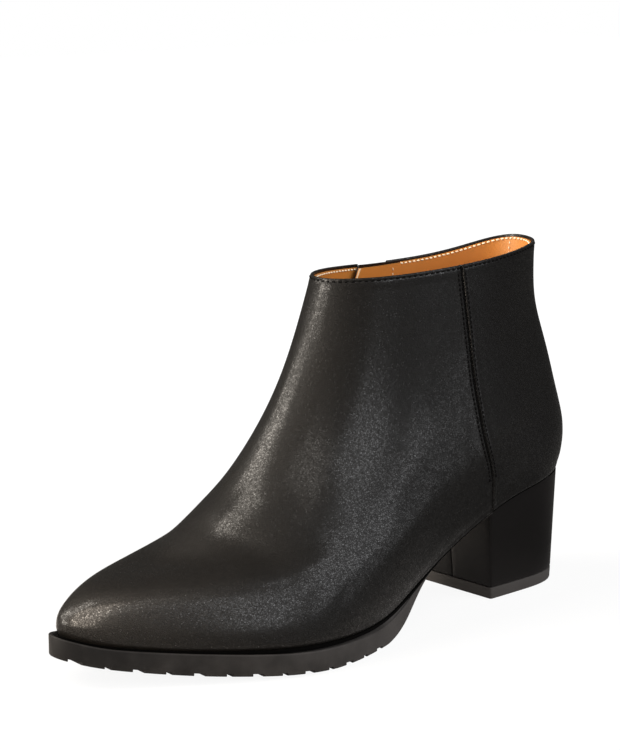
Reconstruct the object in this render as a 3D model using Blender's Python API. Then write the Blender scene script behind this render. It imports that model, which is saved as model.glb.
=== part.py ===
"""Left ankle boot on a block heel, with a zip on its inner side.

The script works in millimetres and writes metres. The toe points to -Y, the outer
(lateral) side of the foot is +X, and the boot stands on the floor at z = 0.
"""
import math

import bmesh
import bpy
import numpy as np
from mathutils import Matrix, Vector

for thing in list(bpy.data.objects):
    bpy.data.objects.remove(thing, do_unlink=True)

MM = 0.001

# The middle of the whole boot's box, so that the origin ends up under its centre.
CENTRE_X = 6.28
CENTRE_Y = 2.90

# Leather and fits
WALL = 2.0            # upper leather and lining together
FIT_GAP = 0.3         # between pieces that touch on the real boot
EDGE_ROLL_IN = 3.5    # how far the upper turns in under itself at its lower edge
EDGE_ROLL_UP = 4.0    # how high that turn is
RIM = 1.0             # flat left under the turned edge
SEAM_HALF = 1.6       # outer side seam: a groove between the front and back panels
SEAM_DEEP = 0.8
VAMP_BREAK = 1.6      # depth of the soft fold across the vamp
INSOLE_THICK = 3.0

# Outsole
SOLE_EDGE = 0.6       # small slope along the top and bottom edges of its side
LUG_DEEP = 1.2
LUG_LONG = 6.9
GAP_NARROW = 2.2
GAP_WIDE = 4.0
LUG_FIRST_Y = -123.0  # front edge of the first gap between lugs
LUG_LAST_Y = 4.0

# Heel, in its own frame: u across, w back from the breast at the floor
HEEL_AT = (1.0, 76.9)
HEEL_TURN = 5.0       # degrees, the heel points a little outward of the toe
TOPLIFT_HIGH = 5.2
HEEL_SIDE_POWER = 2.8  # squareness of the D

# Zip on the inner side
ZIP_SHIFT = -2.0      # zip line ahead of the outer seam's line
SLOT_HALF = 5.0
SLOT_HALF_TOP = 8.5
SLOT_FLARE = 0.90     # the slot widens above this level
SLOT_END = 0.24       # level of the lower end of the slot
TAPE_HALF = 11.0
TAPE_THICK = 1.0
TAPE_GAP = 0.5
CHAIN_HALF = 2.6
GUARD_HALF = 13.0
GUARD_THICK = 1.2
SLIDER_LEVEL = 0.90

# Height of the sole's seat for the upper, along the boot
SEAT_COLUMNS = ("y", "z")
SEAT = (
    (-126, 19.8),
    (-115, 16.4),
    (-100, 13.7),
    (-80, 11.7),
    (-60, 10.5),
    (-40, 9.6),
    (-15, 9.1),
    (10, 11.3),
    (35, 21.9),
    (60, 34.6),
    (85, 45.2),
    (105, 48.8),
    (132, 51.2),
)

# Underside of the outsole, along the boot
UNDER_COLUMNS = ("y", "z")
UNDER = (
    (-126, 12.0),
    (-114, 8.6),
    (-100, 6.0),
    (-83, 3.8),
    (-63, 2.1),
    (-45, 0.8),
    (-28, 0.0),
    (6, 0.0),
    (15, 2.4),
    (22, 6.8),
    (30, 14.6),
    (38, 21.2),
    (50, 28.2),
    (62, 34.2),
    (76, 40.4),
)

# Side of the outsole: how far it stands out past the upper's lower edge line, and how far
# its rim drops below the seat (a raised lip round the toe is a drop below zero)
SIDE_COLUMNS = ("y", "out", "drop")
SIDE = (
    (-126, 3.5, -0.9),
    (-110, 1.8, -0.9),
    (-75, 1.2, -0.8),
    (-40, 1.5, 0.0),
    (-15, 1.2, 0.2),
    (8, 0.0, 1.4),
    (28, -1.8, 2.0),
    (45, -3.2, 0.5),
    (80, -3.2, 0.3),
)

# The upper, one row for each level from its lower edge up to the collar.
# Profile: the front and back points, how far the level follows the seat between them,
# the rise or dip of its inner side, and where the side seam crosses it.
PROFILE_COLUMNS = ("front_y", "front_z", "front_x", "back_y", "back_z", "follow", "dip", "seam_y")
PROFILE = (
    (-122.5, 22.6, 0.0, 128.4, 54.6, 1.00, 0.0, 71.5),
    (-121.9, 26.0, 0.0, 130.4, 60.0, 0.95, 0.0, 70.0),
    (-117.5, 30.6, -0.5, 131.4, 68.0, 0.85, 0.0, 69.0),
    (-104.0, 36.4, -1.5, 130.3, 77.0, 0.70, 0.0, 66.5),
    (-80.0, 40.3, -3.0, 126.8, 89.0, 0.50, 0.0, 63.0),
    (-53.5, 52.4, -3.5, 122.8, 103.0, 0.30, 0.0, 60.0),
    (-31.5, 72.2, -3.0, 118.5, 116.0, 0.15, -1.0, 58.0),
    (-11.0, 103.0, -2.0, 114.8, 131.0, 0.05, -3.0, 56.5),
    (3.0, 144.3, 0.0, 115.2, 151.3, 0.00, -5.8, 54.5),
)

# Fullness of the two sides at the same levels. A side's half width is its fullness times
# the half width of a plain ellipse, at stations from the back (0) to the front (1).
STATION_COLUMNS = ("back", "heel", "seat", "waist", "ball", "toe", "front")
STATIONS = (0.0, 0.10, 0.20, 0.40, 0.66, 0.90, 1.0)
OUTER = (
    (58, 48.0, 39.0, 35.5, 52.0, 37.5, 29),
    (58, 48.5, 40.5, 37.0, 51.5, 37.5, 30),
    (58, 47.5, 41.0, 38.0, 50.0, 38.0, 33),
    (56, 45.0, 41.0, 39.0, 47.0, 39.0, 35),
    (52, 42.0, 40.0, 39.0, 43.0, 39.0, 35),
    (47, 38.0, 37.0, 38.0, 39.0, 37.0, 33),
    (42, 35.0, 34.0, 35.0, 35.0, 33.0, 30),
    (37, 32.0, 31.0, 32.0, 32.0, 31.0, 29),
    (33, 29.0, 28.0, 28.0, 28.0, 28.0, 27),
)
INNER = (
    (58, 48.5, 39.0, 30.0, 39.0, 34.5, 29),
    (58, 48.5, 40.0, 31.0, 38.5, 34.5, 30),
    (58, 47.0, 39.5, 32.0, 38.0, 35.0, 33),
    (56, 45.0, 39.0, 33.0, 36.0, 34.0, 35),
    (52, 42.0, 38.0, 34.0, 35.0, 33.0, 35),
    (47, 38.0, 36.0, 33.0, 32.0, 31.0, 33),
    (42, 35.0, 33.0, 31.0, 30.0, 29.0, 30),
    (37, 32.0, 30.0, 29.0, 29.0, 28.0, 29),
    (33, 29.0, 27.0, 27.0, 27.0, 27.0, 27),
)
LEVEL_KEYS = np.linspace(0.0, 1.0, len(PROFILE))

# Heel outline at its two ends: half width at the breast and at its widest, breast and back along w
HEEL_COLUMNS = ("breast_half", "half", "breast", "back")
HEEL_FOOT = (22.2, 22.4, 0.0, 50.0)
HEEL_SEAT = (24.8, 26.6, -4.0, 49.4)

# Mesh density
BACK_STEPS = 14       # columns from the back to the side seam
FRONT_STEPS = 22      # columns from the side seam to the front
ROLL_ANGLES = (90, 60, 30)
LEVEL_STEPS = (0.0, 0.05, 0.11, 0.17, 0.24, 0.32, 0.40, 0.46, 0.51, 0.56, 0.62, 0.70, 0.78, 0.84, 0.90,
               0.95, 1.0)


# Curves through the tables
def weights(knots, at):
    """Weights of a natural cubic curve through the knots, for each value of at."""
    knots = np.asarray(knots, float)
    count = len(knots)
    step = np.diff(knots)
    left = np.eye(count)
    right = np.zeros((count, count))
    for i in range(1, count - 1):
        left[i, i - 1:i + 2] = step[i - 1], 2 * (step[i - 1] + step[i]), step[i]
        right[i, i - 1:i + 2] = 6 / step[i - 1], -6 / step[i - 1] - 6 / step[i], 6 / step[i]
    bend = np.linalg.solve(left, right)
    at = np.clip(np.asarray(at, float), knots[0], knots[-1])
    i = np.clip(np.searchsorted(knots, at, side="right") - 1, 0, count - 2)
    width = step[i][..., None]
    a = (knots[i + 1] - at)[..., None] / width
    b = 1 - a
    one = np.eye(count)
    curve = (a ** 3 - a) * bend[i] + (b ** 3 - b) * bend[i + 1]
    return a * one[i] + b * one[i + 1] + curve * width ** 2 / 6


def through(table, at):
    """Height of a two-column table's curve."""
    table = np.asarray(table, float)
    return weights(table[:, 0], at) @ table[:, 1]


def seat_z(y):
    return through(SEAT, y)


# The upper's outer surface
def upper_surface(turn, level):
    """Point of the outer surface.

    turn goes round the boot: 0 at the back, pi at the front by the outer side, 2 pi back
    by the inner side. level goes from 0 at the lower edge to 1 at the collar.
    """
    turn, level = np.broadcast_arrays(np.asarray(turn, float), np.asarray(level, float))
    by_level = weights(LEVEL_KEYS, level)
    columns = by_level @ np.asarray(PROFILE, float)
    front_y, front_z, front_x, back_y, back_z, follow, dip, _ = np.moveaxis(columns, -1, 0)
    t = np.sin(turn / 2) ** 2
    outer = turn <= math.pi
    y = back_y + (front_y - back_y) * t
    seat_line = seat_z(back_y) + (seat_z(front_y) - seat_z(back_y)) * t
    z = back_z + (front_z - back_z) * t + follow * (seat_z(y) - seat_line)
    z = z + np.where(outer, 0.0, dip) * np.sin(turn) ** 2 * (1.6 - 1.2 * t)
    hollow = np.exp(-((level - 0.53) / 0.05) ** 2)
    swell = np.exp(-((level - 0.63) / 0.05) ** 2)
    z = z - VAMP_BREAK * t ** 10 * (hollow - 0.5 * swell)
    by_station = weights(STATIONS, t)
    outer_full = np.einsum("...i,ij,...j->...", by_level, np.asarray(OUTER, float), by_station)
    inner_full = np.einsum("...i,ij,...j->...", by_level, np.asarray(INNER, float), by_station)
    x = front_x * t * t * (3 - 2 * t) + np.where(outer, outer_full, inner_full) * np.sin(turn)
    return np.stack([x, y, z], -1)


def upper_frame(turn, level):
    """Point, unit direction round the boot, and outward normal of the outer surface."""
    step = 0.002
    turn = np.asarray(turn)
    point = upper_surface(turn, level)
    round_boot = upper_surface(turn + step, level) - upper_surface(turn - step, level)
    low = np.clip(np.asarray(level) - step, 0, 1)
    high = np.clip(np.asarray(level) + step, 0, 1)
    upward = upper_surface(turn, high) - upper_surface(turn, low)
    normal = np.cross(round_boot, upward)
    normal = -normal / np.linalg.norm(normal, axis=-1, keepdims=True)
    along = round_boot / np.linalg.norm(round_boot, axis=-1, keepdims=True)
    return point, along, normal


def pace(turn, level):
    """Millimetres on the surface for one radian of turn."""
    step = 0.002
    move = upper_surface(turn + step, level) - upper_surface(turn - step, level)
    return np.linalg.norm(move, axis=-1) / (2 * step)


def seam_turn(level, shift=0.0):
    """Turn at which the side seam, moved back by shift, crosses a level."""
    columns = weights(LEVEL_KEYS, level) @ np.asarray(PROFILE, float)
    front_y, back_y, seam_y = columns[..., 0], columns[..., 3], columns[..., 7]
    return 2 * np.arcsin(np.sqrt((back_y - seam_y - shift) / (back_y - front_y)))


def zip_turn(level):
    return 2 * math.pi - seam_turn(level, ZIP_SHIFT)


def slot_half(level):
    flare = min(max((level - SLOT_FLARE) / (1 - SLOT_FLARE), 0.0), 1.0)
    return SLOT_HALF + (SLOT_HALF_TOP - SLOT_HALF) * flare * flare * (3 - 2 * flare)


def edge_outline(turn, out):
    """The upper's lower edge line, seen from above, moved outward by out."""
    point, _, normal = upper_frame(turn, np.zeros_like(turn))
    flat = normal[..., :2] / np.linalg.norm(normal[..., :2], axis=-1, keepdims=True)
    return point[..., :2] + flat * np.asarray(out)[..., None]


def on_height(flat, z):
    return np.concatenate([flat, np.asarray(z)[..., None]], -1)


# Mesh helpers
def srgb(code):
    """Linear colour from a hex code."""
    parts = [int(code[i:i + 2], 16) / 255 for i in (0, 2, 4)]
    return tuple(p / 12.92 if p <= 0.04045 else ((p + 0.055) / 1.055) ** 2.4 for p in parts)


def finish(name, code, roughness, metallic=0.0):
    """Principled material of a sub-part."""
    material = bpy.data.materials.new(name)
    material.use_nodes = True
    shader = material.node_tree.nodes["Principled BSDF"]
    shader.inputs["Base Color"].default_value = srgb(code) + (1.0,)
    shader.inputs["Roughness"].default_value = roughness
    shader.inputs["Metallic"].default_value = metallic
    return material


def add_piece(name, points, faces, material, centred=True):
    """Object from points in millimetres, with its faces turned outward."""
    points = np.asarray(points, float)
    if centred:
        points = points - np.array([CENTRE_X, CENTRE_Y, 0.0])
    mesh = bpy.data.meshes.new(name)
    mesh.from_pydata([tuple(p) for p in points * MM], [], faces)
    work = bmesh.new()
    work.from_mesh(mesh)
    loose = [v for v in work.verts if not v.link_faces]
    bmesh.ops.delete(work, geom=loose, context="VERTS")
    bmesh.ops.recalc_face_normals(work, faces=work.faces)
    work.to_mesh(mesh)
    work.free()
    mesh.materials.append(material)
    piece = bpy.data.objects.new(name, mesh)
    bpy.context.collection.objects.link(piece)
    return piece


def loft_d(loops):
    """Closed body through loops that start and end on a straight edge, with a tip half way."""
    size = len(loops[0])
    tip = size // 2
    faces = []
    for level in range(len(loops) - 1):
        low = level * size
        for k in range(size):
            after = (k + 1) % size
            faces.append((low + k, low + after, low + size + after, low + size + k))
    for low in (0, (len(loops) - 1) * size):
        for k in range(tip - 1):
            faces.append((low + k, low + k + 1, low + size - 2 - k, low + size - 1 - k))
        faces.append((low + tip - 1, low + tip, low + tip + 1))
    return np.concatenate(loops), faces


def loft_strip(loops):
    """Closed body through equal closed loops, with flat ends."""
    size = len(loops[0])
    faces = [tuple(range(size)), tuple(range((len(loops) - 1) * size, len(loops) * size))]
    for level in range(len(loops) - 1):
        low = level * size
        for k in range(size):
            after = (k + 1) % size
            faces.append((low + k, low + after, low + size + after, low + size + k))
    return np.concatenate(loops), faces


def shell(outer, inner, missing):
    """Closed wall between two grids that go right round, without the missing cells."""
    rows, columns = outer.shape[:2]
    count = rows * columns

    def at(row, column):
        return row * columns + column % columns

    def present(row, column):
        return 0 <= row < rows - 1 and (row, column % columns) not in missing

    faces = []
    for row in range(rows - 1):
        for column in range(columns):
            if not present(row, column):
                continue
            ring = (at(row, column), at(row, column + 1), at(row + 1, column + 1), at(row + 1, column))
            faces.append(ring)
            faces.append(tuple(count + k for k in reversed(ring)))
            sides = ((row - 1, column), (row, column + 1), (row + 1, column), (row, column - 1))
            for k, side in enumerate(sides):
                if not present(*side):
                    a, b = ring[k], ring[(k + 1) % 4]
                    faces.append((b, a, count + a, count + b))
    return np.concatenate([outer.reshape(-1, 3), inner.reshape(-1, 3)]), faces


# Upper
SEAM_COLUMN = BACK_STEPS + 1
SLOT_COLUMN = BACK_STEPS + 2 * FRONT_STEPS + 2


def column_turns(level):
    """Turns of the mesh columns at a level, with columns on the seam and on the zip slot's edges."""
    seam = seam_turn(level)
    groove = SEAM_HALF / pace(seam, level)
    middle = zip_turn(level)
    half = slot_half(level) / pace(middle, level)
    return np.concatenate([
        np.linspace(0, seam - groove, BACK_STEPS + 1),
        [seam],
        np.linspace(seam + groove, math.pi, FRONT_STEPS + 1),
        np.linspace(math.pi, middle - half, FRONT_STEPS + 1)[1:],
        [middle],
        np.linspace(middle + half, 2 * math.pi, BACK_STEPS + 1)[:-1],
    ])


def make_upper():
    """Hollow leather upper, open at the collar and underneath, with the zip's slot."""
    outer_rows = []
    inner_rows = []
    turns = column_turns(0.0)
    inner_turn = {90: (EDGE_ROLL_IN + RIM, 0.0), 60: (3.6, 1.5), 30: (2.7, 2.6)}
    for angle in ROLL_ANGLES:
        a = math.radians(angle)
        flat = edge_outline(turns, np.full(len(turns), -EDGE_ROLL_IN * (1 - math.cos(a))))
        outer_rows.append(on_height(flat, seat_z(flat[:, 1]) + EDGE_ROLL_UP * (1 - math.sin(a))))
        inset, lift = inner_turn[angle]
        flat = edge_outline(turns, np.full(len(turns), -inset))
        inner_rows.append(on_height(flat, seat_z(flat[:, 1]) + lift))
    for level in LEVEL_STEPS:
        turns = column_turns(level)
        point, _, normal = upper_frame(turns, np.full(len(turns), level))
        inner_rows.append(point - normal * WALL)
        point[SEAM_COLUMN] -= normal[SEAM_COLUMN] * SEAM_DEEP
        outer_rows.append(point)
    first = len(ROLL_ANGLES) + LEVEL_STEPS.index(SLOT_END)
    rows = range(first, len(outer_rows) - 1)
    missing = {(row, SLOT_COLUMN + k) for row in rows for k in (0, 1)}
    points, faces = shell(np.array(outer_rows), np.array(inner_rows), missing)
    return add_piece("upper", points, faces, finish("upper_leather", "2A2523", 0.42))


# Insole
def make_insole():
    """Board and sock lining that close the upper underneath."""
    side = np.linspace(0.06, math.pi, 31)
    turns = np.concatenate([side, 2 * math.pi - side[-2::-1]])
    loops = []
    for inset, lift in ((EDGE_ROLL_IN + RIM + FIT_GAP, 0.0), (4.2, 1.6), (3.7, INSOLE_THICK)):
        flat = edge_outline(turns, np.full(len(turns), -inset))
        loops.append(on_height(flat, seat_z(flat[:, 1]) + lift))
    points, faces = loft_d(loops)
    return add_piece("insole", points, faces, finish("sock_lining", "C99A63", 0.6))


# Heel and toplift
def heel_loop(breast_half, half, breast, back):
    """D outline of the heel seen from above, from its outer front corner round the back."""
    side_end = breast + 0.4 * (back - breast)
    corner = [(breast_half - 1.2, breast), (breast_half - 0.35, breast + 0.35)]
    corner.append((breast_half, breast + 1.2))
    middle = (breast_half + 0.7 * (half - breast_half), breast + 0.5 * (side_end - breast))
    angles = np.radians(np.linspace(0, 90, 13))
    power = 2 / HEEL_SIDE_POWER
    arc = []
    for a in angles[:-1]:
        arc.append((half * math.cos(a) ** power, side_end + (back - side_end) * math.sin(a) ** power))
    arc.append((0.0, back))
    outer = corner + [middle] + arc
    inner = [(-u, w) for u, w in reversed(outer[:-1])]
    turn = math.radians(HEEL_TURN)
    u, w = np.array(outer + inner).T
    x = HEEL_AT[0] + u * math.cos(turn) - w * math.sin(turn)
    y = HEEL_AT[1] + u * math.sin(turn) + w * math.cos(turn)
    return np.stack([x, y], -1)


def heel_size(part):
    """Heel outline sizes part of the way up from the floor to the seat."""
    return [low + (high - low) * part for low, high in zip(HEEL_FOOT, HEEL_SEAT)]


def make_heel():
    """Leather-covered block between toplift and upper."""
    foot = heel_loop(*heel_size(0.14))
    seat = heel_loop(*HEEL_SEAT)
    loops = [on_height(foot, np.full(len(foot), TOPLIFT_HIGH + FIT_GAP))]
    loops.append(on_height(seat, seat_z(seat[:, 1]) - FIT_GAP))
    points, faces = loft_d(loops)
    return add_piece("heel_block", points, faces, finish("heel_cover_leather", "221E1C", 0.45))


def make_toplift():
    """Rubber piece under the heel."""
    foot = heel_loop(*HEEL_FOOT)
    top = heel_loop(*heel_size(0.13))
    loops = [on_height(foot, np.zeros(len(foot))), on_height(top, np.full(len(top), TOPLIFT_HIGH))]
    points, faces = loft_d(loops)
    return add_piece("heel_toplift", points, faces, finish("toplift_rubber", "3A3836", 0.7))


# Outsole
def breast_turn(inner):
    """Turn at which the sole's outline meets the heel's breast."""
    angle = math.radians(HEEL_TURN)
    low, high = 0.3, 2.2
    for _ in range(40):
        middle = (low + high) / 2
        turn = 2 * math.pi - middle if inner else middle
        x, y = edge_outline(np.array([turn]), np.array([SIDE[-1][1]]))[0]
        w = -(x - HEEL_AT[0]) * math.sin(angle) + (y - HEEL_AT[1]) * math.cos(angle)
        if w > HEEL_SEAT[2] - 2 * FIT_GAP:
            low = middle
        else:
            high = middle
    return 2 * math.pi - low if inner else low


def side_columns(y):
    """How far the sole's side stands out, and how far its rim drops, along the boot."""
    table = np.asarray(SIDE, float)
    return np.moveaxis(weights(table[:, 0], y) @ table[:, 1:], -1, 0)


def sole_loop(inset, seated=False):
    """Outline of the outsole from the breast round the toe, or of the seat inside its rim."""
    part = np.linspace(0, 1, 45)
    outer = breast_turn(False) + (math.pi - breast_turn(False)) * part
    inner = breast_turn(True) + (math.pi - breast_turn(True)) * part
    turns = np.concatenate([outer, inner[-2::-1]])
    edge_y = upper_surface(turns, np.zeros_like(turns))[:, 1]
    out, _ = side_columns(edge_y)
    if seated:
        return edge_outline(turns, np.minimum(out - 1.6, -2.4))
    return edge_outline(turns, out - inset)


def under_z(y):
    return np.maximum(through(UNDER, y), 0.0)


def make_lug_cutter():
    """Bars that cut the gaps between the lugs, one mesh, across the whole sole."""
    points = []
    faces = []
    y = LUG_FIRST_Y
    narrow = False
    while y < LUG_LAST_Y:
        long = GAP_NARROW if narrow else GAP_WIDE
        corners = [(y, -6.0), (y + long, -6.0)]
        corners += [(y + long, float(under_z(y + long)) + LUG_DEEP), (y, float(under_z(y)) + LUG_DEEP)]
        start = len(points)
        points += [(-80.0, a, b) for a, b in corners] + [(90.0, a, b) for a, b in corners]
        faces += [tuple(start + k for k in (3, 2, 1, 0)), tuple(start + k for k in (4, 5, 6, 7))]
        for k in range(4):
            after = (k + 1) % 4
            faces.append((start + k, start + after, start + 4 + after, start + 4 + k))
        y += long + LUG_LONG
        narrow = not narrow
    cutter = add_piece("lug_gap_cutter", points, faces, finish("cutter", "808080", 0.5))
    cutter.display_type = "WIRE"
    cutter.hide_render = True
    return cutter


def make_outsole():
    """Rubber forefoot sole with toe spring, thin at the waist, that ends at the heel's breast."""
    full = sole_loop(0.0)
    slim = sole_loop(SOLE_EDGE)
    seat = sole_loop(0.0, seated=True)
    y = full[:, 1]
    _, drop = side_columns(y)
    thick = seat_z(y) - FIT_GAP - under_z(y)
    edge = np.minimum(SOLE_EDGE, 0.25 * thick)
    rim = seat_z(y) - FIT_GAP - np.minimum(drop, 0.25 * thick)
    loops = [on_height(slim, under_z(slim[:, 1])), on_height(full, under_z(y) + edge)]
    loops += [on_height(full, rim - edge), on_height(slim, rim)]
    loops.append(on_height(seat, seat_z(seat[:, 1]) - FIT_GAP))
    points, faces = loft_d(loops)
    sole = add_piece("outsole", points, faces, finish("sole_rubber", "3B3A39", 0.75))
    cut = sole.modifiers.new("lug gaps", "BOOLEAN")
    cut.operation = "DIFFERENCE"
    cut.solver = "EXACT"
    cut.object = make_lug_cutter()
    return sole


# Zip
def sweep_on_zip(section, levels):
    """Loops of a flat section (across, depth) laid along the zip line inside the upper."""
    across, depth = np.array(section, float).T
    loops = []
    for level in levels:
        turn = zip_turn(level)
        turns = turn + across / pace(turn, level)
        point, _, normal = upper_frame(turns, np.full(len(turns), level))
        loops.append(point - normal * depth[:, None])
    return loft_strip(loops)


def make_zip_tape():
    """Tape and closed chain behind the slot."""
    face = WALL + TAPE_GAP
    back = face + TAPE_THICK
    section = [(-TAPE_HALF, face), (-6.5, face), (-CHAIN_HALF, face)]
    section += [(-CHAIN_HALF, 0.7), (0, 0.5), (CHAIN_HALF, 0.7)]
    section += [(CHAIN_HALF, face), (6.5, face), (TAPE_HALF, face)]
    section += [(s, back) for s in (TAPE_HALF, 6.5, 2.2, -2.2, -6.5, -TAPE_HALF)]
    points, faces = sweep_on_zip(section, np.linspace(SLOT_END + 0.01, 0.98, 15))
    return add_piece("zip_tape", points, faces, finish("zip_tape_cloth", "1E1C1B", 0.8))


def make_zip_guard():
    """Leather flap behind the zip."""
    face = WALL + TAPE_GAP + TAPE_THICK + 0.4
    back = face + GUARD_THICK
    stops = np.linspace(-GUARD_HALF, GUARD_HALF, 7)
    section = [(s, face) for s in stops] + [(s, back) for s in reversed(stops)]
    points, faces = sweep_on_zip(section, np.linspace(SLOT_END - 0.01, 0.994, 13))
    return add_piece("zip_guard", points, faces, finish("guard_leather", "C2955F", 0.6))


# Slider and pull tab, in a frame with X across the zip, Y up along it and Z outward from it
SLIDER_HALF = 4.2
SLIDER_LONG = 10.0
SLIDER_THICK = 2.2
PIVOT_LIFT = 1.3      # pivot over the slider's face
BRIDGE_HALF = 0.7
BRIDGE_REACH = 2.6
BRIDGE_RISE = 2.0
BRIDGE_BAR = 0.9
TAB_HALF = 2.6
TAB_LONG = 24.0
TAB_THICK = 1.0
EYE_HALF = 1.5
EYE_END = 3.8


def slider_frame():
    """Matrix of the slider's frame, with its origin at the tab's pivot, in metres."""
    level = np.array(SLIDER_LEVEL)
    point, along, normal = upper_frame(zip_turn(level), level)
    across = Vector(-along)
    out = Vector(normal)
    up = out.cross(across)
    if up.z < 0:
        across = -across
        up = out.cross(across)
    depth = SLIDER_THICK + PIVOT_LIFT - 0.2
    centre = Vector(point) - Vector((CENTRE_X, CENTRE_Y, 0.0)) + out * depth
    turn = Matrix((across, up, out)).transposed().to_4x4()
    return Matrix.Translation(centre * MM) @ turn


def prism(outline, half, axis):
    """Points and faces of a flat outline pushed out to both sides along an axis."""
    count = len(outline)
    points = []
    for side in (-half, half):
        for a, b in outline:
            points.append((side, a, b) if axis == "x" else (a, b, side))
    faces = [tuple(range(count)), tuple(range(count, 2 * count))]
    faces += [(k, (k + 1) % count, count + (k + 1) % count, count + k) for k in range(count)]
    return points, faces


def hidden_tool(name, points, faces, frame):
    tool = add_piece(name, points, faces, finish(name, "808080", 0.5), centred=False)
    tool.matrix_world = frame
    tool.display_type = "WIRE"
    tool.hide_render = True
    return tool


def rounded_bar(half, low, high, steps=6):
    """Outline of a bar along Y whose lower end is a half circle."""
    angles = np.linspace(math.pi, 2 * math.pi, steps)
    end = [(half * math.cos(a), low + half + half * math.sin(a)) for a in angles]
    return end + [(half, high - 0.5), (half - 0.5, high), (0.5 - half, high), (-half, high - 0.5)]


def make_slider(frame):
    """Zip slider with the bridge that holds the tab."""
    face = -PIVOT_LIFT
    outline = [(x, y) for x, y in rounded_bar(SLIDER_HALF, -SLIDER_LONG / 2, SLIDER_LONG / 2)]
    points, faces = prism(outline, SLIDER_THICK / 2, "z")
    points = [(x, y, z + face - SLIDER_THICK / 2) for x, y, z in points]
    metal = finish("zip_metal", "6E6A66", 0.35, 1.0)
    slider = add_piece("zip_slider", points, faces, metal, centred=False)
    slider.matrix_world = frame
    reach = BRIDGE_REACH + BRIDGE_BAR
    bridge = [(-reach, face - 0.5), (-reach, BRIDGE_RISE - 0.4), (-reach + 0.4, BRIDGE_RISE)]
    bridge += [(reach - 0.4, BRIDGE_RISE), (reach, BRIDGE_RISE - 0.4), (reach, face - 0.5)]
    bridge += [(BRIDGE_REACH, face - 0.5)]
    bridge += [(BRIDGE_REACH, BRIDGE_RISE - BRIDGE_BAR), (-BRIDGE_REACH, BRIDGE_RISE - BRIDGE_BAR)]
    bridge += [(-BRIDGE_REACH, face - 0.5)]
    points, faces = prism(bridge, BRIDGE_HALF, "x")
    join = slider.modifiers.new("bridge", "BOOLEAN")
    join.operation = "UNION"
    join.solver = "EXACT"
    join.object = hidden_tool("bridge_form", points, faces, frame)
    return slider


def make_tab(frame):
    """Pull tab that hangs from the slider and swings out on its pivot."""
    bar = TAB_THICK / 2
    points, faces = prism(rounded_bar(TAB_HALF, -TAB_LONG, bar), bar, "z")
    metal = finish("tab_metal", "6E6A66", 0.35, 1.0)
    tab = add_piece("zip_pull_tab", points, faces, metal, centred=False)
    tab.matrix_world = frame
    eye = [(-EYE_HALF, -EYE_END), (EYE_HALF, -EYE_END), (EYE_HALF, -bar), (-EYE_HALF, -bar)]
    points, faces = prism(eye, 2 * TAB_THICK, "z")
    cut = tab.modifiers.new("eye", "BOOLEAN")
    cut.operation = "DIFFERENCE"
    cut.solver = "EXACT"
    cut.object = hidden_tool("eye_cutter", points, faces, frame)
    return tab


make_upper()
make_insole()
make_heel()
make_toplift()
make_outsole()
make_zip_tape()
make_zip_guard()
zip_frame = slider_frame()
make_slider(zip_frame)
make_tab(zip_frame)
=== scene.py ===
# %% [markdown]
# # A leather ankle boot on a block heel
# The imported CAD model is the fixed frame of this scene. Each cell below dresses one piece of
# the boot: the leather upper, its tan lining, the rubber sole, the covered heel and the zip.
# The shapes come from the same few tables that drive the solids, drawn with a finer mesh, so
# every visible piece lies where its solid lies.

# %% Load the frame
import math

import bmesh
import bpy
import numpy as np
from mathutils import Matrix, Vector


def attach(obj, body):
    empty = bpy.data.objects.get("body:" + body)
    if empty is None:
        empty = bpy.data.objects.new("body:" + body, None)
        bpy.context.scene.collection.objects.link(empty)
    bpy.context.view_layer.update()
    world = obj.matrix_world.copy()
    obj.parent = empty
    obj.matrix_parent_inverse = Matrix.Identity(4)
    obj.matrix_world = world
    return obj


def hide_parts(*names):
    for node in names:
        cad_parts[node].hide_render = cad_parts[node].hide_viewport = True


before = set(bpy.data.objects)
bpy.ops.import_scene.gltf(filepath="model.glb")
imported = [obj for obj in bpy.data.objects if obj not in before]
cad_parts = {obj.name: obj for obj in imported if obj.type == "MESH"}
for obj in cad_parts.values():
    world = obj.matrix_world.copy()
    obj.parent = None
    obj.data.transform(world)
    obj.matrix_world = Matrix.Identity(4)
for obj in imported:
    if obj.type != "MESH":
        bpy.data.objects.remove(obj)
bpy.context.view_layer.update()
print("frame:", ", ".join(sorted(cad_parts)))

# %% [markdown]
# ## Shared helpers
# The boot is drawn in millimetres, as a shoemaker measures it, with the toe towards -Y and
# the outer side of the foot towards +X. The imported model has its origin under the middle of
# its box, so one shift and one scale take a point into the frame. A few helpers add nodes,
# meshes and pieces, so each later cell holds only what is special about its own piece.

# %% Units and node helpers
MM = 0.001                          # metres
CENTRE = np.array([6.28, 2.90, 0.0])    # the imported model's origin in the boot's millimetres


def to_frame(points):
    """Points in the boot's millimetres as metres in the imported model's frame."""
    return (np.asarray(points, float) - CENTRE) * MM


def linear(code):
    """Linear colour from an sRGB hex code."""
    parts = [int(code[i:i + 2], 16) / 255 for i in (0, 2, 4)]
    return tuple(p / 12.92 if p <= 0.04045 else ((p + 0.055) / 1.055) ** 2.4 for p in parts) + (1.0,)


def add_node(tree, kind, inputs=None, **settings):
    """A node with its settings, its inputs given as values or as other nodes' outputs."""
    node = tree.nodes.new(kind)
    for name, value in settings.items():
        setattr(node, name, value)
    for key, value in (inputs or {}).items():
        if isinstance(value, bpy.types.NodeSocket):
            tree.links.new(value, node.inputs[key])
        else:
            node.inputs[key].default_value = value
    return node


def new_material(name):
    """A node material with its tree, its Principled shader and the piece's Object coordinates."""
    material = bpy.data.materials.new(name)
    material.use_nodes = True
    tree = material.node_tree
    place = add_node(tree, "ShaderNodeTexCoord").outputs["Object"]
    return material, tree, tree.nodes["Principled BSDF"], place


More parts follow.
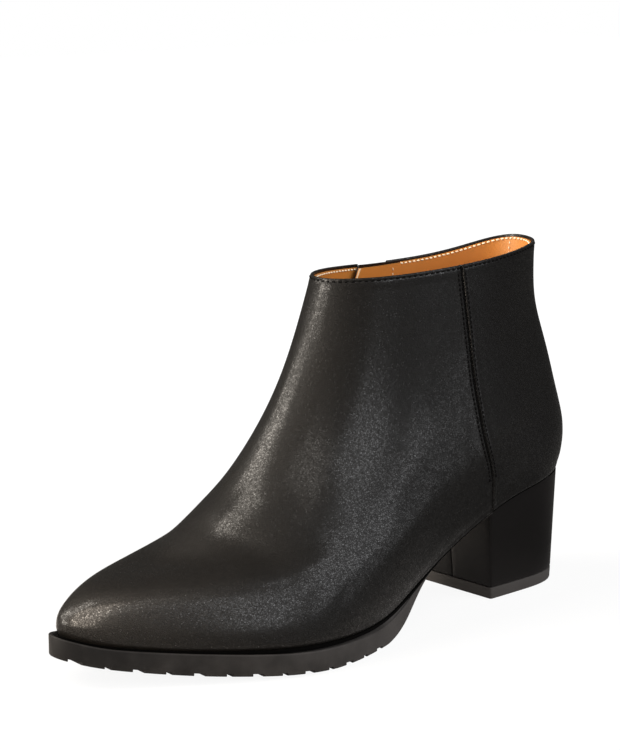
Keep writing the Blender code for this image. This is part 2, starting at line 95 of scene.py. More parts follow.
def tone_and_relief(tree, shader, mottle, code, dark_code, height, strength, depth):
    """Two tones mixed by one pattern, and a fine relief raised by another."""
    tint = add_node(tree, "ShaderNodeMix", {"Factor": mottle, 6: linear(dark_code), 7: linear(code)},
                    data_type="RGBA")
    bump = add_node(tree, "ShaderNodeBump", {"Height": height, "Strength": strength, "Distance": depth})
    tree.links.new(tint.outputs[2], shader.inputs["Base Color"])
    tree.links.new(bump.outputs[0], shader.inputs["Normal"])


print("frame origin in the boot's millimetres:", CENTRE.tolist())


# %% Mesh and piece helpers
def closed_mesh(name, points, faces):
    """A mesh from points in the boot's millimetres, with its faces turned outwards."""
    mesh = bpy.data.meshes.new(name)
    mesh.from_pydata(to_frame(points).tolist(), [], faces)
    work = bmesh.new()
    work.from_mesh(mesh)
    bmesh.ops.delete(work, geom=[v for v in work.verts if not v.link_faces], context="VERTS")
    bmesh.ops.recalc_face_normals(work, faces=work.faces)
    work.to_mesh(mesh)
    work.free()
    return mesh


def add_object(name, mesh, material, sharp=None):
    """An object of one material, smooth except at edges sharper than an angle in degrees."""
    mesh.materials.clear()
    mesh.materials.append(material)
    mesh.shade_smooth()
    if sharp is not None:
        mesh.set_sharp_from_angle(angle=math.radians(sharp))
    item = bpy.data.objects.new(name, mesh)
    bpy.context.scene.collection.objects.link(item)
    return item


def dress(piece, node=None, body="boot"):
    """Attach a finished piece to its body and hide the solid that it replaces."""
    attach(piece, body)
    if node:
        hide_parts(node)
    print(f"{piece.name}: {len(piece.data.polygons)} faces")
    return piece


def make_piece(name, points, faces, material, node=None, sharp=None):
    """A dressed piece of the boot from points in millimetres."""
    return dress(add_object(name, closed_mesh(name, points, faces), material, sharp), node)


def shell(outer, inner, missing=frozenset(), around=True):
    """Closed wall between two grids of points, without the missing cells."""
    rows, columns = outer.shape[:2]
    count = rows * columns
    cells = columns if around else columns - 1

    def at(row, column):
        return row * columns + column % columns

    def present(row, column):
        if around:
            column = column % columns
        return 0 <= row < rows - 1 and 0 <= column < cells and (row, column) not in missing

    faces = []
    for row in range(rows - 1):
        for column in range(cells):
            if not present(row, column):
                continue
            ring = (at(row, column), at(row, column + 1), at(row + 1, column + 1), at(row + 1, column))
            faces.append(ring)
            faces.append(tuple(count + k for k in reversed(ring)))
            sides = ((row - 1, column), (row, column + 1), (row + 1, column), (row, column - 1))
            for k, side in enumerate(sides):
                if not present(*side):
                    a, b = ring[k], ring[(k + 1) % 4]
                    faces.append((b, a, count + a, count + b))
    return np.concatenate([outer.reshape(-1, 3), inner.reshape(-1, 3)]), faces


print("solids to dress:", len(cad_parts))

# %% [markdown]
# ## The shape of the last
# A boot is pulled over a last, a foot-shaped block. Its surface is described here by level
# loops, from the lower edge of the leather (level 0) to the collar (level 1). Each loop goes
# round from the back, by the outer side to the front, and back by the inner side. The tables
# hold one row for each level: where the loop starts and ends, and how full its sides are.

# %% Tables of the last
SEAT = (  # height of the sole's seat along the boot: y, z
    (-126, 19.8), (-115, 16.4), (-100, 13.7), (-80, 11.7), (-60, 10.5), (-40, 9.6), (-15, 9.1),
    (10, 11.3), (35, 21.9), (60, 34.6), (85, 45.2), (105, 48.8), (132, 51.2),
)
PROFILE = (  # front_y, front_z, front_x, back_y, back_z, follow, dip, seam_y
    (-122.5, 22.6, 0.0, 128.4, 54.6, 1.00, 0.0, 71.5),
    (-121.9, 26.0, 0.0, 130.4, 60.0, 0.95, 0.0, 70.0),
    (-117.5, 30.6, -0.5, 131.4, 68.0, 0.85, 0.0, 69.0),
    (-104.0, 36.4, -1.5, 130.3, 77.0, 0.70, 0.0, 66.5),
    (-80.0, 40.3, -3.0, 126.8, 89.0, 0.50, 0.0, 63.0),
    (-53.5, 52.4, -3.5, 122.8, 103.0, 0.30, 0.0, 60.0),
    (-31.5, 72.2, -3.0, 118.5, 116.0, 0.15, -1.0, 58.0),
    (-11.0, 103.0, -2.0, 114.8, 131.0, 0.05, -3.0, 56.5),
    (3.0, 144.3, 0.0, 115.2, 151.3, 0.00, -5.8, 54.5),
)
STATIONS = (0.0, 0.10, 0.20, 0.40, 0.66, 0.90, 1.0)  # back, heel, seat, waist, ball, toe, front
OUTER = (  # fullness of the outer side at those stations
    (58, 48.0, 39.0, 35.5, 52.0, 37.5, 29),
    (58, 48.5, 40.5, 37.0, 51.5, 37.5, 30),
    (58, 47.5, 41.0, 38.0, 50.0, 38.0, 33),
    (56, 45.0, 41.0, 39.0, 47.0, 39.0, 35),
    (52, 42.0, 40.0, 39.0, 43.0, 39.0, 35),
    (47, 38.0, 37.0, 38.0, 39.0, 37.0, 33),
    (42, 35.0, 34.0, 35.0, 35.0, 33.0, 30),
    (37, 32.0, 31.0, 32.0, 32.0, 31.0, 29),
    (33, 29.0, 28.0, 28.0, 28.0, 28.0, 27),
)
INNER = (  # fullness of the inner side
    (58, 48.5, 39.0, 30.0, 39.0, 34.5, 29),
    (58, 48.5, 40.0, 31.0, 38.5, 34.5, 30),
    (58, 47.0, 39.5, 32.0, 38.0, 35.0, 33),
    (56, 45.0, 39.0, 33.0, 36.0, 34.0, 35),
    (52, 42.0, 38.0, 34.0, 35.0, 33.0, 35),
    (47, 38.0, 36.0, 33.0, 32.0, 31.0, 33),
    (42, 35.0, 33.0, 31.0, 30.0, 29.0, 30),
    (37, 32.0, 30.0, 29.0, 29.0, 28.0, 29),
    (33, 29.0, 27.0, 27.0, 27.0, 27.0, 27),
)
LEVEL_KEYS = np.linspace(0.0, 1.0, len(PROFILE))
VAMP_BREAK = 1.6       # depth of the soft fold across the vamp, mm
FOLD_LEVEL = 0.53      # level of the fold, and of the swelling above it
FOLD_SWELL_LEVEL = 0.63
FOLD_HALF = 0.05
WALL = 2.0             # leather and lining together
EDGE_ROLL_IN = 3.5     # the lower edge rolls in under the boot by this much, over this height
EDGE_ROLL_UP = 4.0
FIT_GAP = 0.3          # between neighbouring pieces
print(len(PROFILE), "levels,", len(STATIONS), "stations")


# %% Curves through the tables
def weights(knots, at):
    """Weights of a natural cubic curve through the knots, for each value of at."""
    knots = np.asarray(knots, float)
    count = len(knots)
    step = np.diff(knots)
    left = np.eye(count)
    right = np.zeros((count, count))
    for i in range(1, count - 1):
        left[i, i - 1:i + 2] = step[i - 1], 2 * (step[i - 1] + step[i]), step[i]
        right[i, i - 1:i + 2] = 6 / step[i - 1], -6 / step[i - 1] - 6 / step[i], 6 / step[i]
    bend = np.linalg.solve(left, right)
    at = np.clip(np.asarray(at, float), knots[0], knots[-1])
    i = np.clip(np.searchsorted(knots, at, side="right") - 1, 0, count - 2)
    width = step[i][..., None]
    a = (knots[i + 1] - at)[..., None] / width
    b = 1 - a
    one = np.eye(count)
    curve = (a ** 3 - a) * bend[i] + (b ** 3 - b) * bend[i + 1]
    return a * one[i] + b * one[i + 1] + curve * width ** 2 / 6


def through(table, at):
    """Height of a two-column table's curve."""
    table = np.asarray(table, float)
    return weights(table[:, 0], at) @ table[:, 1]


def seat_z(y):
    """Height of the sole's seat along the boot."""
    return through(SEAT, y)


def upper_surface(turn, level):
    """Point of the outer surface: turn 0 at the back, pi at the front by the outer side."""
    turn, level = np.broadcast_arrays(np.asarray(turn, float), np.asarray(level, float))
    by_level = weights(LEVEL_KEYS, level)
    columns = by_level @ np.asarray(PROFILE, float)
    front_y, front_z, front_x, back_y, back_z, follow, dip, _ = np.moveaxis(columns, -1, 0)
    t = np.sin(turn / 2) ** 2
    outer = turn <= math.pi
    y = back_y + (front_y - back_y) * t
    seat_line = seat_z(back_y) + (seat_z(front_y) - seat_z(back_y)) * t
    z = back_z + (front_z - back_z) * t + follow * (seat_z(y) - seat_line)
    z = z + np.where(outer, 0.0, dip) * np.sin(turn) ** 2 * (1.6 - 1.2 * t)
    hollow = np.exp(-((level - FOLD_LEVEL) / FOLD_HALF) ** 2)
    swell = np.exp(-((level - FOLD_SWELL_LEVEL) / FOLD_HALF) ** 2)
    z = z - VAMP_BREAK * t ** 10 * (hollow - 0.5 * swell)
    by_station = weights(STATIONS, t)
    outer_full = np.einsum("...i,ij,...j->...", by_level, np.asarray(OUTER, float), by_station)
    inner_full = np.einsum("...i,ij,...j->...", by_level, np.asarray(INNER, float), by_station)
    x = front_x * t * t * (3 - 2 * t) + np.where(outer, outer_full, inner_full) * np.sin(turn)
    return np.stack([x, y, z], -1)


SURFACE_STEP = 0.002   # small change of turn or level with which slopes are measured


def upper_frame(turn, level):
    """Point and outward normal of the outer surface."""
    step = SURFACE_STEP
    turn = np.asarray(turn, float)
    point = upper_surface(turn, level)
    round_boot = upper_surface(turn + step, level) - upper_surface(turn - step, level)
    low = np.clip(np.asarray(level) - step, 0, 1)
    high = np.clip(np.asarray(level) + step, 0, 1)
    upward = upper_surface(turn, high) - upper_surface(turn, low)
    normal = np.cross(round_boot, upward)
    normal = -normal / np.linalg.norm(normal, axis=-1, keepdims=True)
    return point, normal


def pace(turn, level):
    """Millimetres on the surface for one radian of turn."""
    step = SURFACE_STEP
    move = upper_surface(turn + step, level) - upper_surface(turn - step, level)
    return np.linalg.norm(move, axis=-1) / (2 * step)


def rise(turn, level):
    """Millimetres on the surface for one unit of level."""
    step = SURFACE_STEP
    low = np.clip(level - step, 0, 1)
    high = np.clip(level + step, 0, 1)
    move = upper_surface(turn, high) - upper_surface(turn, low)
    return np.linalg.norm(move, axis=-1) / (high - low)


check = upper_surface(np.array([0.0, math.pi]), np.array([1.0, 0.0]))
print("collar back and toe tip, mm:", np.round(check, 1).tolist())

# %% [markdown]
# ## Seam and zip lines
# The front and back panels meet in one seam down the outer side. The zip takes the same line
# on the inner side, a little further forward. Both are turns that change with the level.

# %% Where the seam and the zip run
ZIP_SHIFT = -2.0       # the zip lies this far in front of the seam's line, mm
SLOT_HALF = 5.0        # half width of the zip's slot, and at the collar
SLOT_HALF_TOP = 8.5
SLOT_FLARE = 0.90      # it widens from this level up
SLOT_END = 0.24        # and ends at this one


def seam_turn(level, shift=0.0):
    """Turn at which the side seam, moved back by shift, crosses a level."""
    columns = weights(LEVEL_KEYS, level) @ np.asarray(PROFILE, float)
    front_y, back_y, seam_y = columns[..., 0], columns[..., 3], columns[..., 7]
    return 2 * np.arcsin(np.sqrt((back_y - seam_y - shift) / (back_y - front_y)))


def zip_turn(level):
    """Turn of the zip's middle line at a level."""
    return 2 * math.pi - seam_turn(level, ZIP_SHIFT)


def slot_half(level):
    """Half width of the zip's slot at a level, mm."""
    flare = np.clip((np.asarray(level) - SLOT_FLARE) / (1 - SLOT_FLARE), 0.0, 1.0)
    return SLOT_HALF + (SLOT_HALF_TOP - SLOT_HALF) * flare * flare * (3 - 2 * flare)


def beside_slot(turn, level):
    """Distance from the slot's edge, negative inside the slot, mm."""
    middle = zip_turn(level)
    return np.abs(turn - middle) * pace(middle, level) - slot_half(level)


def edge_outline(turn, out):
    """The upper's lower edge line, seen from above, moved outward by out."""
    point, normal = upper_frame(turn, np.zeros_like(turn))
    flat = normal[..., :2] / np.linalg.norm(normal[..., :2], axis=-1, keepdims=True)
    return point[..., :2] + flat * np.asarray(out)[..., None]


def on_height(flat, z):
    """Outline points with a height given to each."""
    return np.concatenate([flat, np.asarray(z)[..., None]], -1)


print("seam turn at the collar, degrees:", round(math.degrees(float(seam_turn(1.0))), 1))

# %% [markdown]
# ## Leather
# The upper is smooth calf leather, dyed black and finished with a thin satin coat. Close up
# it has a fine pebble grain: small raised cells with dull creases between them. The eye sees
# it as a sparkle where a light is mirrored. Bump alone would blur those reflections, so the
# gloss of the coat follows the cells too. They are drawn about twice their real size, because
# finer ones would not show at this picture's scale.

# %% Black calf leather
GRAIN_CELL = 0.68 * MM     # across one pebble of the grain
GRAIN_DEPTH = 0.06 * MM
GRAIN_SHOULDER = 0.28      # a pebble is rounded this far in from its crease, as a share of a cell
DULL_CELLS = 0.85          # how much less coat the dullest pebble has than the shiniest
CLOUD = 18 * MM            # size of the slow changes of colour


def grained_leather(name, code, dark_code, grain, coat):
    """Satin leather: glossy pebbles with dull creases between them, and slow clouds of colour."""
    material, tree, shader, place = new_material(name)
    pebble = add_node(tree, "ShaderNodeTexVoronoi", {"Vector": place, "Scale": 1 / GRAIN_CELL},
                      feature="DISTANCE_TO_EDGE")
    top = add_node(tree, "ShaderNodeMapRange", {"Value": pebble.outputs["Distance"], "From Min": 0.0,
                                                "From Max": GRAIN_SHOULDER}, interpolation_type="SMOOTHSTEP")
    cell = add_node(tree, "ShaderNodeTexVoronoi", {"Vector": place, "Scale": 1 / GRAIN_CELL}, feature="F1")
    chance = add_node(tree, "ShaderNodeSeparateColor", {0: cell.outputs["Color"]})
    dull = coat * (1 - DULL_CELLS * grain)
    shine = add_node(tree, "ShaderNodeMapRange", {"Value": chance.outputs[0], "To Min": dull,
                                                  "To Max": coat})
    finish = add_node(tree, "ShaderNodeMapRange", {"Value": top.outputs[0], "To Min": coat * (1 - grain),
                                                   "To Max": shine.outputs[0]})
    cloud = add_node(tree, "ShaderNodeTexNoise", {"Vector": place, "Scale": 1 / CLOUD, "Detail": 4.0})
    tone_and_relief(tree, shader, cloud.outputs["Fac"], code, dark_code, top.outputs[0], grain, GRAIN_DEPTH)
    tree.links.new(finish.outputs[0], shader.inputs["Coat Weight"])
    shader.inputs["Roughness"].default_value = 0.5
    shader.inputs["IOR"].default_value = 1.5
    shader.inputs["Specular IOR Level"].default_value = 0.12
    shader.inputs["Coat Roughness"].default_value = 0.22
    return material


CALF = grained_leather("black_calf_leather", "0D0B09", "090807", grain=0.95, coat=1.0)
HEEL_CALF = grained_leather("black_heel_cover_leather", "0E0B0A", "090706", grain=0.1, coat=0.16)
print("leathers:", CALF.name, HEEL_CALF.name)

# %% [markdown]
# ## The upper
# One wall of leather, thicker at its turned edges. The mesh columns crowd together at the
# seam and at the zip's slot, where the relief is small: a groove between two lips, and the
# shallow channels that the stitches pull into the leather. Rows crowd at the collar.

# %% Columns and rows of the upper
SEAM_ZONE = 7.0        # fine columns this far either side of the seam, mm
SLOT_ZONE = 6.0        # and beside the slot
COLLAR_ZONE = 6.0      # fine rows this far below the collar's edge
EDGE_ROUND = 0.55      # radius of the turned edges
SEAM_STEPS = np.concatenate([np.linspace(-SEAM_ZONE, -2.6, 7), np.linspace(-2.4, 2.4, 25),
                             np.linspace(2.6, SEAM_ZONE, 7)])
SLOT_STEPS = np.array([SLOT_ZONE, 5.0, 4.2, 3.6, 3.2, 2.8, 2.4, 1.9, 1.4, 0.9, 0.6, 0.35, 0.12, 0.0])
COLLAR_STEPS = np.array([5.2, 4.5, 3.9, 3.4, 2.9, 2.5, 2.2, 1.9, 1.6, 1.25, 0.9, 0.6, 0.35, 0.12, 0.0])
BACK_COLUMNS = 24
FRONT_COLUMNS = 74
SLOT_COLUMNS = 7
LOW_ROWS = 22          # rows below the slot's foot
HIGH_ROWS = 66         # rows from there to the fine rows of the collar
HIGH_LEVEL = 0.95


def upper_columns(level):
    """Turns of the mesh columns, each worked out at the levels of its own column of a grid."""
    seam = seam_turn(level)
    seam_pace = pace(seam, level)
    middle = zip_turn(level)
    zip_pace = pace(middle, level)
    half = slot_half(level)
    behind_seam = seam - SEAM_ZONE / seam_pace
    before_seam = seam + SEAM_ZONE / seam_pace
    before_zip = middle - (half + SLOT_ZONE) / zip_pace
    behind_zip = middle + (half + SLOT_ZONE) / zip_pace
    turns = [f * behind_seam for f in np.linspace(0, 1, BACK_COLUMNS, endpoint=False)]
    turns += [seam + s / seam_pace for s in SEAM_STEPS]
    turns += [before_seam + f * (math.pi - before_seam) for f in np.linspace(0, 1, FRONT_COLUMNS)[1:]]
    turns += [math.pi + f * (before_zip - math.pi) for f in np.linspace(0, 1, FRONT_COLUMNS)[1:-1]]
    turns += [middle - (half + q) / zip_pace for q in SLOT_STEPS]
    turns += [middle + f * half / zip_pace for f in np.linspace(-1, 1, SLOT_COLUMNS + 2)[1:-1]]
    turns += [middle + (half + q) / zip_pace for q in SLOT_STEPS[::-1]]
    turns += [behind_zip + f * (2 * math.pi - behind_zip) for f in np.linspace(0, 1, BACK_COLUMNS + 1)[1:-1]]
    return np.stack([column[:, k] for k, column in enumerate(turns)], -1)


COLUMNS = (BACK_COLUMNS + len(SEAM_STEPS) + FRONT_COLUMNS - 1 + FRONT_COLUMNS - 2
           + 2 * len(SLOT_STEPS) + SLOT_COLUMNS + BACK_COLUMNS - 1)
SLOT_FIRST = BACK_COLUMNS + len(SEAM_STEPS) + 2 * FRONT_COLUMNS - 3 + len(SLOT_STEPS) - 1


def upper_grid():
    """Levels, turns and distance below the collar of every point of the upper's mesh."""
    plain = np.concatenate([np.linspace(0, SLOT_END, LOW_ROWS, endpoint=False),
                            np.linspace(SLOT_END, HIGH_LEVEL, HIGH_ROWS)])
    level = np.repeat(plain[:, None], COLUMNS, 1)
    top = np.ones((1, COLUMNS))
    top_turn = upper_columns(top)
    steep = rise(top_turn, top - 0.01)
    zone = 1 - COLLAR_ZONE / steep
    high = plain > SLOT_END
    part = (plain[high] - SLOT_END) / (HIGH_LEVEL - SLOT_END)
    level[high] = SLOT_END + part[:, None] * (zone - SLOT_END)
    collar = 1 - COLLAR_STEPS[:, None] / steep
    level = np.concatenate([level, collar])
    below = (1 - level) * steep
    return level, upper_columns(level), below


level, turn, below = upper_grid()
print("upper grid:", level.shape, "columns", COLUMNS)

# %% [markdown]
# ## Relief of the leather
# The side seam is sewn, opened and stitched down on both sides, so it has a groove, two lips
# and two stitch channels on a low swelling. Creases are soft troughs along lines placed where
# the vamp bends. Sculpting could make them too, but as a height along the surface's normal
# each one keeps a size that can be read and changed.

# %% Relief of seam, stitch channels and creases
SEAM_ROW = 1.9         # stitch rows either side of the seam, mm
COLLAR_ROW = 1.35      # stitch row below the collar
SLOT_ROW = 2.8         # stitch row beside the slot
STITCH_LEVEL = 0.28    # the side seam's stitches end at this level
SWELL = 0.22           # low swelling over the seam's turned-in edges
SWELL_HALF = 4.2
LIP_AT = 1.0           # lips either side of the groove
BACK_LIP = 0.26        # the back panel's lip stands this much higher
GROOVE = 1.0           # groove between the two panels
GROOVE_HALF = 0.58
FOOT_LIP = 0.24        # below the stitches the back panel rises beside the groove
SEAM_CHANNEL = 0.18    # depth of the channels that the seam's stitches pull in
CHANNEL = 0.14         # and of the collar's and the slot's
CHANNEL_HALF = 0.4
COLLAR_FOLD = 0.10     # the folded leather at the collar is thicker by this


def bell(x, centre, half):
    """Smooth hump of height 1 round a centre."""
    return np.exp(-((x - centre) / half) ** 2)


def soft_step(x, low, high):
    """Smooth step from 0 at low to 1 at high."""
    t = np.clip((x - low) / (high - low), 0, 1)
    return t * t * (3 - 2 * t)


def edge_round(distance, radius=EDGE_ROUND):
    """How far a turned edge has curled away at a distance from its rim."""
    q = np.clip(distance, 0, radius)
    return radius - np.sqrt(np.clip(radius ** 2 - (radius - q) ** 2, 0, None))


CREASES = (  # line on the surface as (turn in degrees, level), depth and half width in mm
    (((193, 0.618), (181, 0.614), (169, 0.606), (158, 0.593), (147, 0.572), (136, 0.525)), 0.60, 6.5),
    (((150, 0.575), (139, 0.540), (128, 0.465), (119, 0.375), (112, 0.280)), 0.45, 8.0),
    (((60, 0.620), (75, 0.600), (88, 0.560)), 0.30, 7.0),
)
CREASE_SPOTS = 40      # each line is followed in this many spots


def crease_relief(points):
    """Soft troughs along the crease lines, fading at their ends."""
    height = np.zeros(points.shape[:-1])
    for line, depth, half in CREASES:
        knots = np.array(line, float)
        at = np.linspace(0, len(knots) - 1, CREASE_SPOTS)
        turns = np.radians(weights(range(len(knots)), at) @ knots[:, 0])
        levels = weights(range(len(knots)), at) @ knots[:, 1]
        track = upper_surface(turns, levels)
        fade = np.sin(np.linspace(0, math.pi, CREASE_SPOTS)) ** 0.5
        trough = np.zeros_like(height)
        for spot, strength in zip(track, fade):
            away = np.linalg.norm(points - spot, axis=-1)
            trough = np.maximum(trough, strength * bell(away, 0, half))
        height -= depth * trough
    return height


def upper_relief(level, turn, below, points):
    """Height of the leather's relief over the plain surface, mm."""
    seam = seam_turn(level)
    s = (turn - seam) * pace(seam, level)
    sewn = soft_step(level, STITCH_LEVEL - 0.02, STITCH_LEVEL + 0.01)
    height = SWELL * np.exp(-(s / SWELL_HALF) ** 4) * (0.4 + 0.6 * sewn)
    height += (0.05 + 0.09 * sewn) * bell(np.abs(s), LIP_AT, 0.4) + BACK_LIP * sewn * bell(s, -LIP_AT, 0.38)
    height -= GROOVE * bell(s, 0, GROOVE_HALF - 0.06 * (1 - sewn))
    height += FOOT_LIP * (1 - sewn) * bell(s, -1.3, 0.7) * soft_step(level, 0.0, 0.06)
    height -= SEAM_CHANNEL * sewn * bell(np.abs(s), SEAM_ROW, 0.35)
    height -= CHANNEL * bell(below, COLLAR_ROW, CHANNEL_HALF)
    height += COLLAR_FOLD * soft_step(below, 5.5, 2.6) * (below < 5.6)
    beside = beside_slot(turn, level)
    slotted = soft_step(level, SLOT_END - 0.03, SLOT_END)
    height -= CHANNEL * bell(beside, SLOT_ROW, CHANNEL_HALF) * slotted
    height -= edge_round(below)
    open_edge = (level > SLOT_END + 0.002) & (beside >= -0.01)
    height -= np.where(open_edge, edge_round(np.clip(beside, 0, None)), 0.0)
    return height + crease_relief(points)


points, normal = upper_frame(turn, level)
relief = upper_relief(level, turn, below, points)
print("relief from", round(float(relief.min()), 2), "to", round(float(relief.max()), 2), "mm")

# %% Build the upper
LINING_STRIP = 1.2     # black strip inside the collar, mm
LINING_THICK = 0.7
ROLL_GROOVE = 0.9      # the seam's groove and its lips, carried on over the rolled lower edge
ROLL_LIP = 0.14


def build_upper():
    """Leather wall with its turned lower edge, full thickness at the collar and the slot."""
    outer = points + normal * relief[..., None]
    near_edge = np.where(level >= SLOT_END, np.minimum(below, beside_slot(turn, level)), below)
    depth = WALL - LINING_THICK - 0.1 - edge_round(near_edge)
    inner = points - normal * depth[..., None]
    roll_outer = []
    roll_inner = []
    edge_turns = turn[0]
    s = (edge_turns - seam_turn(0.0)) * pace(seam_turn(0.0), 0.0)
    groove = ROLL_GROOVE * bell(s, 0, 0.42) - ROLL_LIP * bell(np.abs(s), 0.85, 0.4)
    for a in np.radians(range(90, 0, -10)):
        inset = EDGE_ROLL_IN * (1 - math.cos(a)) + groove * math.cos(a)
        flat = edge_outline(edge_turns, -inset)
        up = EDGE_ROLL_UP * (1 - math.sin(a)) + groove * math.sin(a)
        roll_outer.append(on_height(flat, seat_z(flat[:, 1]) + up))
        inset = (EDGE_ROLL_IN + 1.0) * math.sin(a) + 1.2 * math.cos(a)
        flat = edge_outline(edge_turns, np.full(len(edge_turns), -inset))
        up = (EDGE_ROLL_UP - 0.3) * math.cos(a)
        roll_inner.append(on_height(flat, seat_z(flat[:, 1]) + up))
    outer = np.concatenate([np.array(roll_outer), outer])
    inner = np.concatenate([np.array(roll_inner), inner])
    first = len(roll_outer) + LOW_ROWS
    slot_columns = range(SLOT_FIRST, SLOT_FIRST + SLOT_COLUMNS + 1)
    missing = {(row, column) for row in range(first, len(outer) - 1) for column in slot_columns}
    verts, faces = shell(outer, inner, missing)
    return make_piece("upper_leather", verts, faces, CALF, "upper")


upper = build_upper()

# %% [markdown]
# ## Lining
# Inside, the boot is lined with vegetable-tanned leather in its natural caramel colour. It
# stops just below the collar, where a strip of the black leather shows, and it is closed by a
# seam down the back. It is a thin sheet of its own, so its cut edge catches the light.

# %% Tan lining leather
def tan_leather(name, code, dark_code):
    """Undyed lining leather: warm, matt, with faint streaks and pores."""
    material, tree, shader, place = new_material(name)
    streak = add_node(tree, "ShaderNodeTexNoise", {"Vector": place, "Scale": 1 / (12 * MM), "Detail": 6.0})
    pores = add_node(tree, "ShaderNodeTexNoise", {"Vector": place, "Scale": 1 / (0.8 * MM), "Detail": 2.0})
    tone_and_relief(tree, shader, streak.outputs["Fac"], code, dark_code, pores.outputs["Fac"], 0.35,
                    0.1 * MM)
    shader.inputs["Roughness"].default_value = 0.55
    return material


TAN = tan_leather("tan_lining_leather", "C07D34", "B3702A")
CREAM_EDGE = tan_leather("raw_leather_edge", "F0D9B4", "E2C598")
print("lining leathers:", TAN.name, CREAM_EDGE.name)

# %% Build the lining
LINING_FOOT = 0.004    # the lining's lower edge lies behind the sock, at this level
LINING_ROWS = 46
LINING_COLUMNS = 150
LINING_CLEAR = 2.0     # it stops this far from the slot, mm


def lining_grid(depth):
    """Lining surface at a depth under the outer surface, open along the zip's slot."""
    start = np.linspace(0.0, 1.0, LINING_COLUMNS)
    part = np.linspace(0.0, 1.0, LINING_ROWS)
    level = np.empty((LINING_ROWS, LINING_COLUMNS))
    turn = np.empty_like(level)
    for row, p in enumerate(part):
        rough = LINING_FOOT + p * (0.99 - LINING_FOOT)
        gap = (slot_half(rough) + LINING_CLEAR) / pace(zip_turn(rough), rough) * (rough > SLOT_END - 0.02)
        first = zip_turn(rough) + gap - 2 * math.pi
        last = zip_turn(rough) - gap
        turn[row] = first + start * (last - first)
        wrapped = np.mod(turn[row], 2 * math.pi)
        steep = rise(wrapped, np.full(LINING_COLUMNS, 0.99))
        high = 1 - LINING_STRIP / steep
        level[row] = LINING_FOOT + p * (high - LINING_FOOT)
    wrapped = np.mod(turn, 2 * math.pi)
    point, normal = upper_frame(wrapped, level)
    return point - normal * depth


verts, faces = shell(lining_grid(WALL - LINING_THICK), lining_grid(WALL), around=False)
make_piece("lining", verts, faces, TAN, sharp=50)

# %% [markdown]
# ## Insole
# The sock lining lies on the insole board and is the floor inside the boot. It is the same
# tan leather. Its edge turns up against the lining, so that no dark gap shows between them.

# %% Insole
def ring_faces(size, first, second):
    """Faces of the band between two closed loops, given the number of their first points."""
    return [(first + k, first + (k + 1) % size, second + (k + 1) % size, second + k) for k in range(size)]


def band_faces(loops):
    """Faces of the bands through equal closed loops."""
    size = len(loops[0])
    return [face for n in range(len(loops) - 1) for face in ring_faces(size, n * size, (n + 1) * size)]


def loft(loops):
    """Closed body through equal closed loops; the caps are strips between its two halves."""
    size = len(loops[0])
    tip = size // 2
    faces = band_faces(loops)
    for low in (0, (len(loops) - 1) * size):
        for k in range(tip - 1):
            faces.append((low + k, low + k + 1, low + size - 2 - k, low + size - 1 - k))
        faces.append((low + tip - 1, low + tip, low + tip + 1))
    return np.concatenate(loops), faces


SOCK_EDGE = (  # inset from the upper's lower edge and height over the seat, mm
    (4.8, 0.0), (4.2, 1.6), (1.7, 3.5), (1.8, 4.1), (2.6, 3.9), (4.6, 3.1),
)


def build_insole():
    """Sock with its edge turned up against the lining."""
    side = np.linspace(0.03, math.pi, 90)
    turns = np.concatenate([side, 2 * math.pi - side[-2::-1]])
    loops = []
    for inset, lift in SOCK_EDGE:
        flat = edge_outline(turns, np.full(len(turns), -inset))
        loops.append(on_height(flat, seat_z(flat[:, 1]) + lift))
    verts, faces = loft(loops)
    make_piece("sock", verts, faces, TAN, "insole", sharp=50)


build_insole()

# %% [markdown]
# ## Rubber sole
# The forefoot sole is a moulded rubber unit with cross lugs. Its side wall is charcoal and
# matt, its edges are slightly rounded, and it has a low rim round the toe. It is a loft
# through outlines at rising heights, and one Boolean cuts the gaps between the lugs, wide and
# narrow in turn.

# %% Rubber
def moulded_rubber(name, code, dark_code, roughness, front_y, back_y):
    """Moulded rubber: matt, with a fine sandy texture, and painted paler towards the back as painted light.
    """
    material, tree, shader, place = new_material(name)
    sand = add_node(tree, "ShaderNodeTexNoise", {"Vector": place, "Scale": 1 / (0.6 * MM), "Detail": 2.0})
    cloud = add_node(tree, "ShaderNodeTexNoise", {"Vector": place, "Scale": 1 / (10 * MM), "Detail": 5.0})
    parts = add_node(tree, "ShaderNodeSeparateXYZ", {0: place})
    # Painted light and shade: the rubber is painted darker at front_y and paler at back_y, as the light on
    # the sole is dimmer at the toe than beside the waist.
    painted_light_ramp = add_node(tree, "ShaderNodeMapRange", {"Value": parts.outputs["Y"], "From Min": front_y * MM,
                                                 "From Max": back_y * MM, "To Min": -0.5, "To Max": 0.5})
    paler = add_node(tree, "ShaderNodeMath", {0: cloud.outputs["Fac"], 1: painted_light_ramp.outputs[0]}, operation="ADD",
                     use_clamp=True)
    tone_and_relief(tree, shader, paler.outputs[0], code, dark_code, sand.outputs["Fac"], 0.4, 0.08 * MM)
    shader.inputs["Roughness"].default_value = roughness
    shader.inputs["Specular IOR Level"].default_value = 0.2
    return material


# The sole's dark toe and pale waist are painted shade and light; the toplift gets the same small ramp.
SOLE_RUBBER = moulded_rubber("moulded_sole_rubber", "403D3B", "191716", 0.6, front_y=-120, back_y=30)
TOPLIFT_RUBBER = moulded_rubber("toplift_rubber", "474442", "3E3B39", 0.55, front_y=60, back_y=130)
print("rubbers:", SOLE_RUBBER.name, TOPLIFT_RUBBER.name)

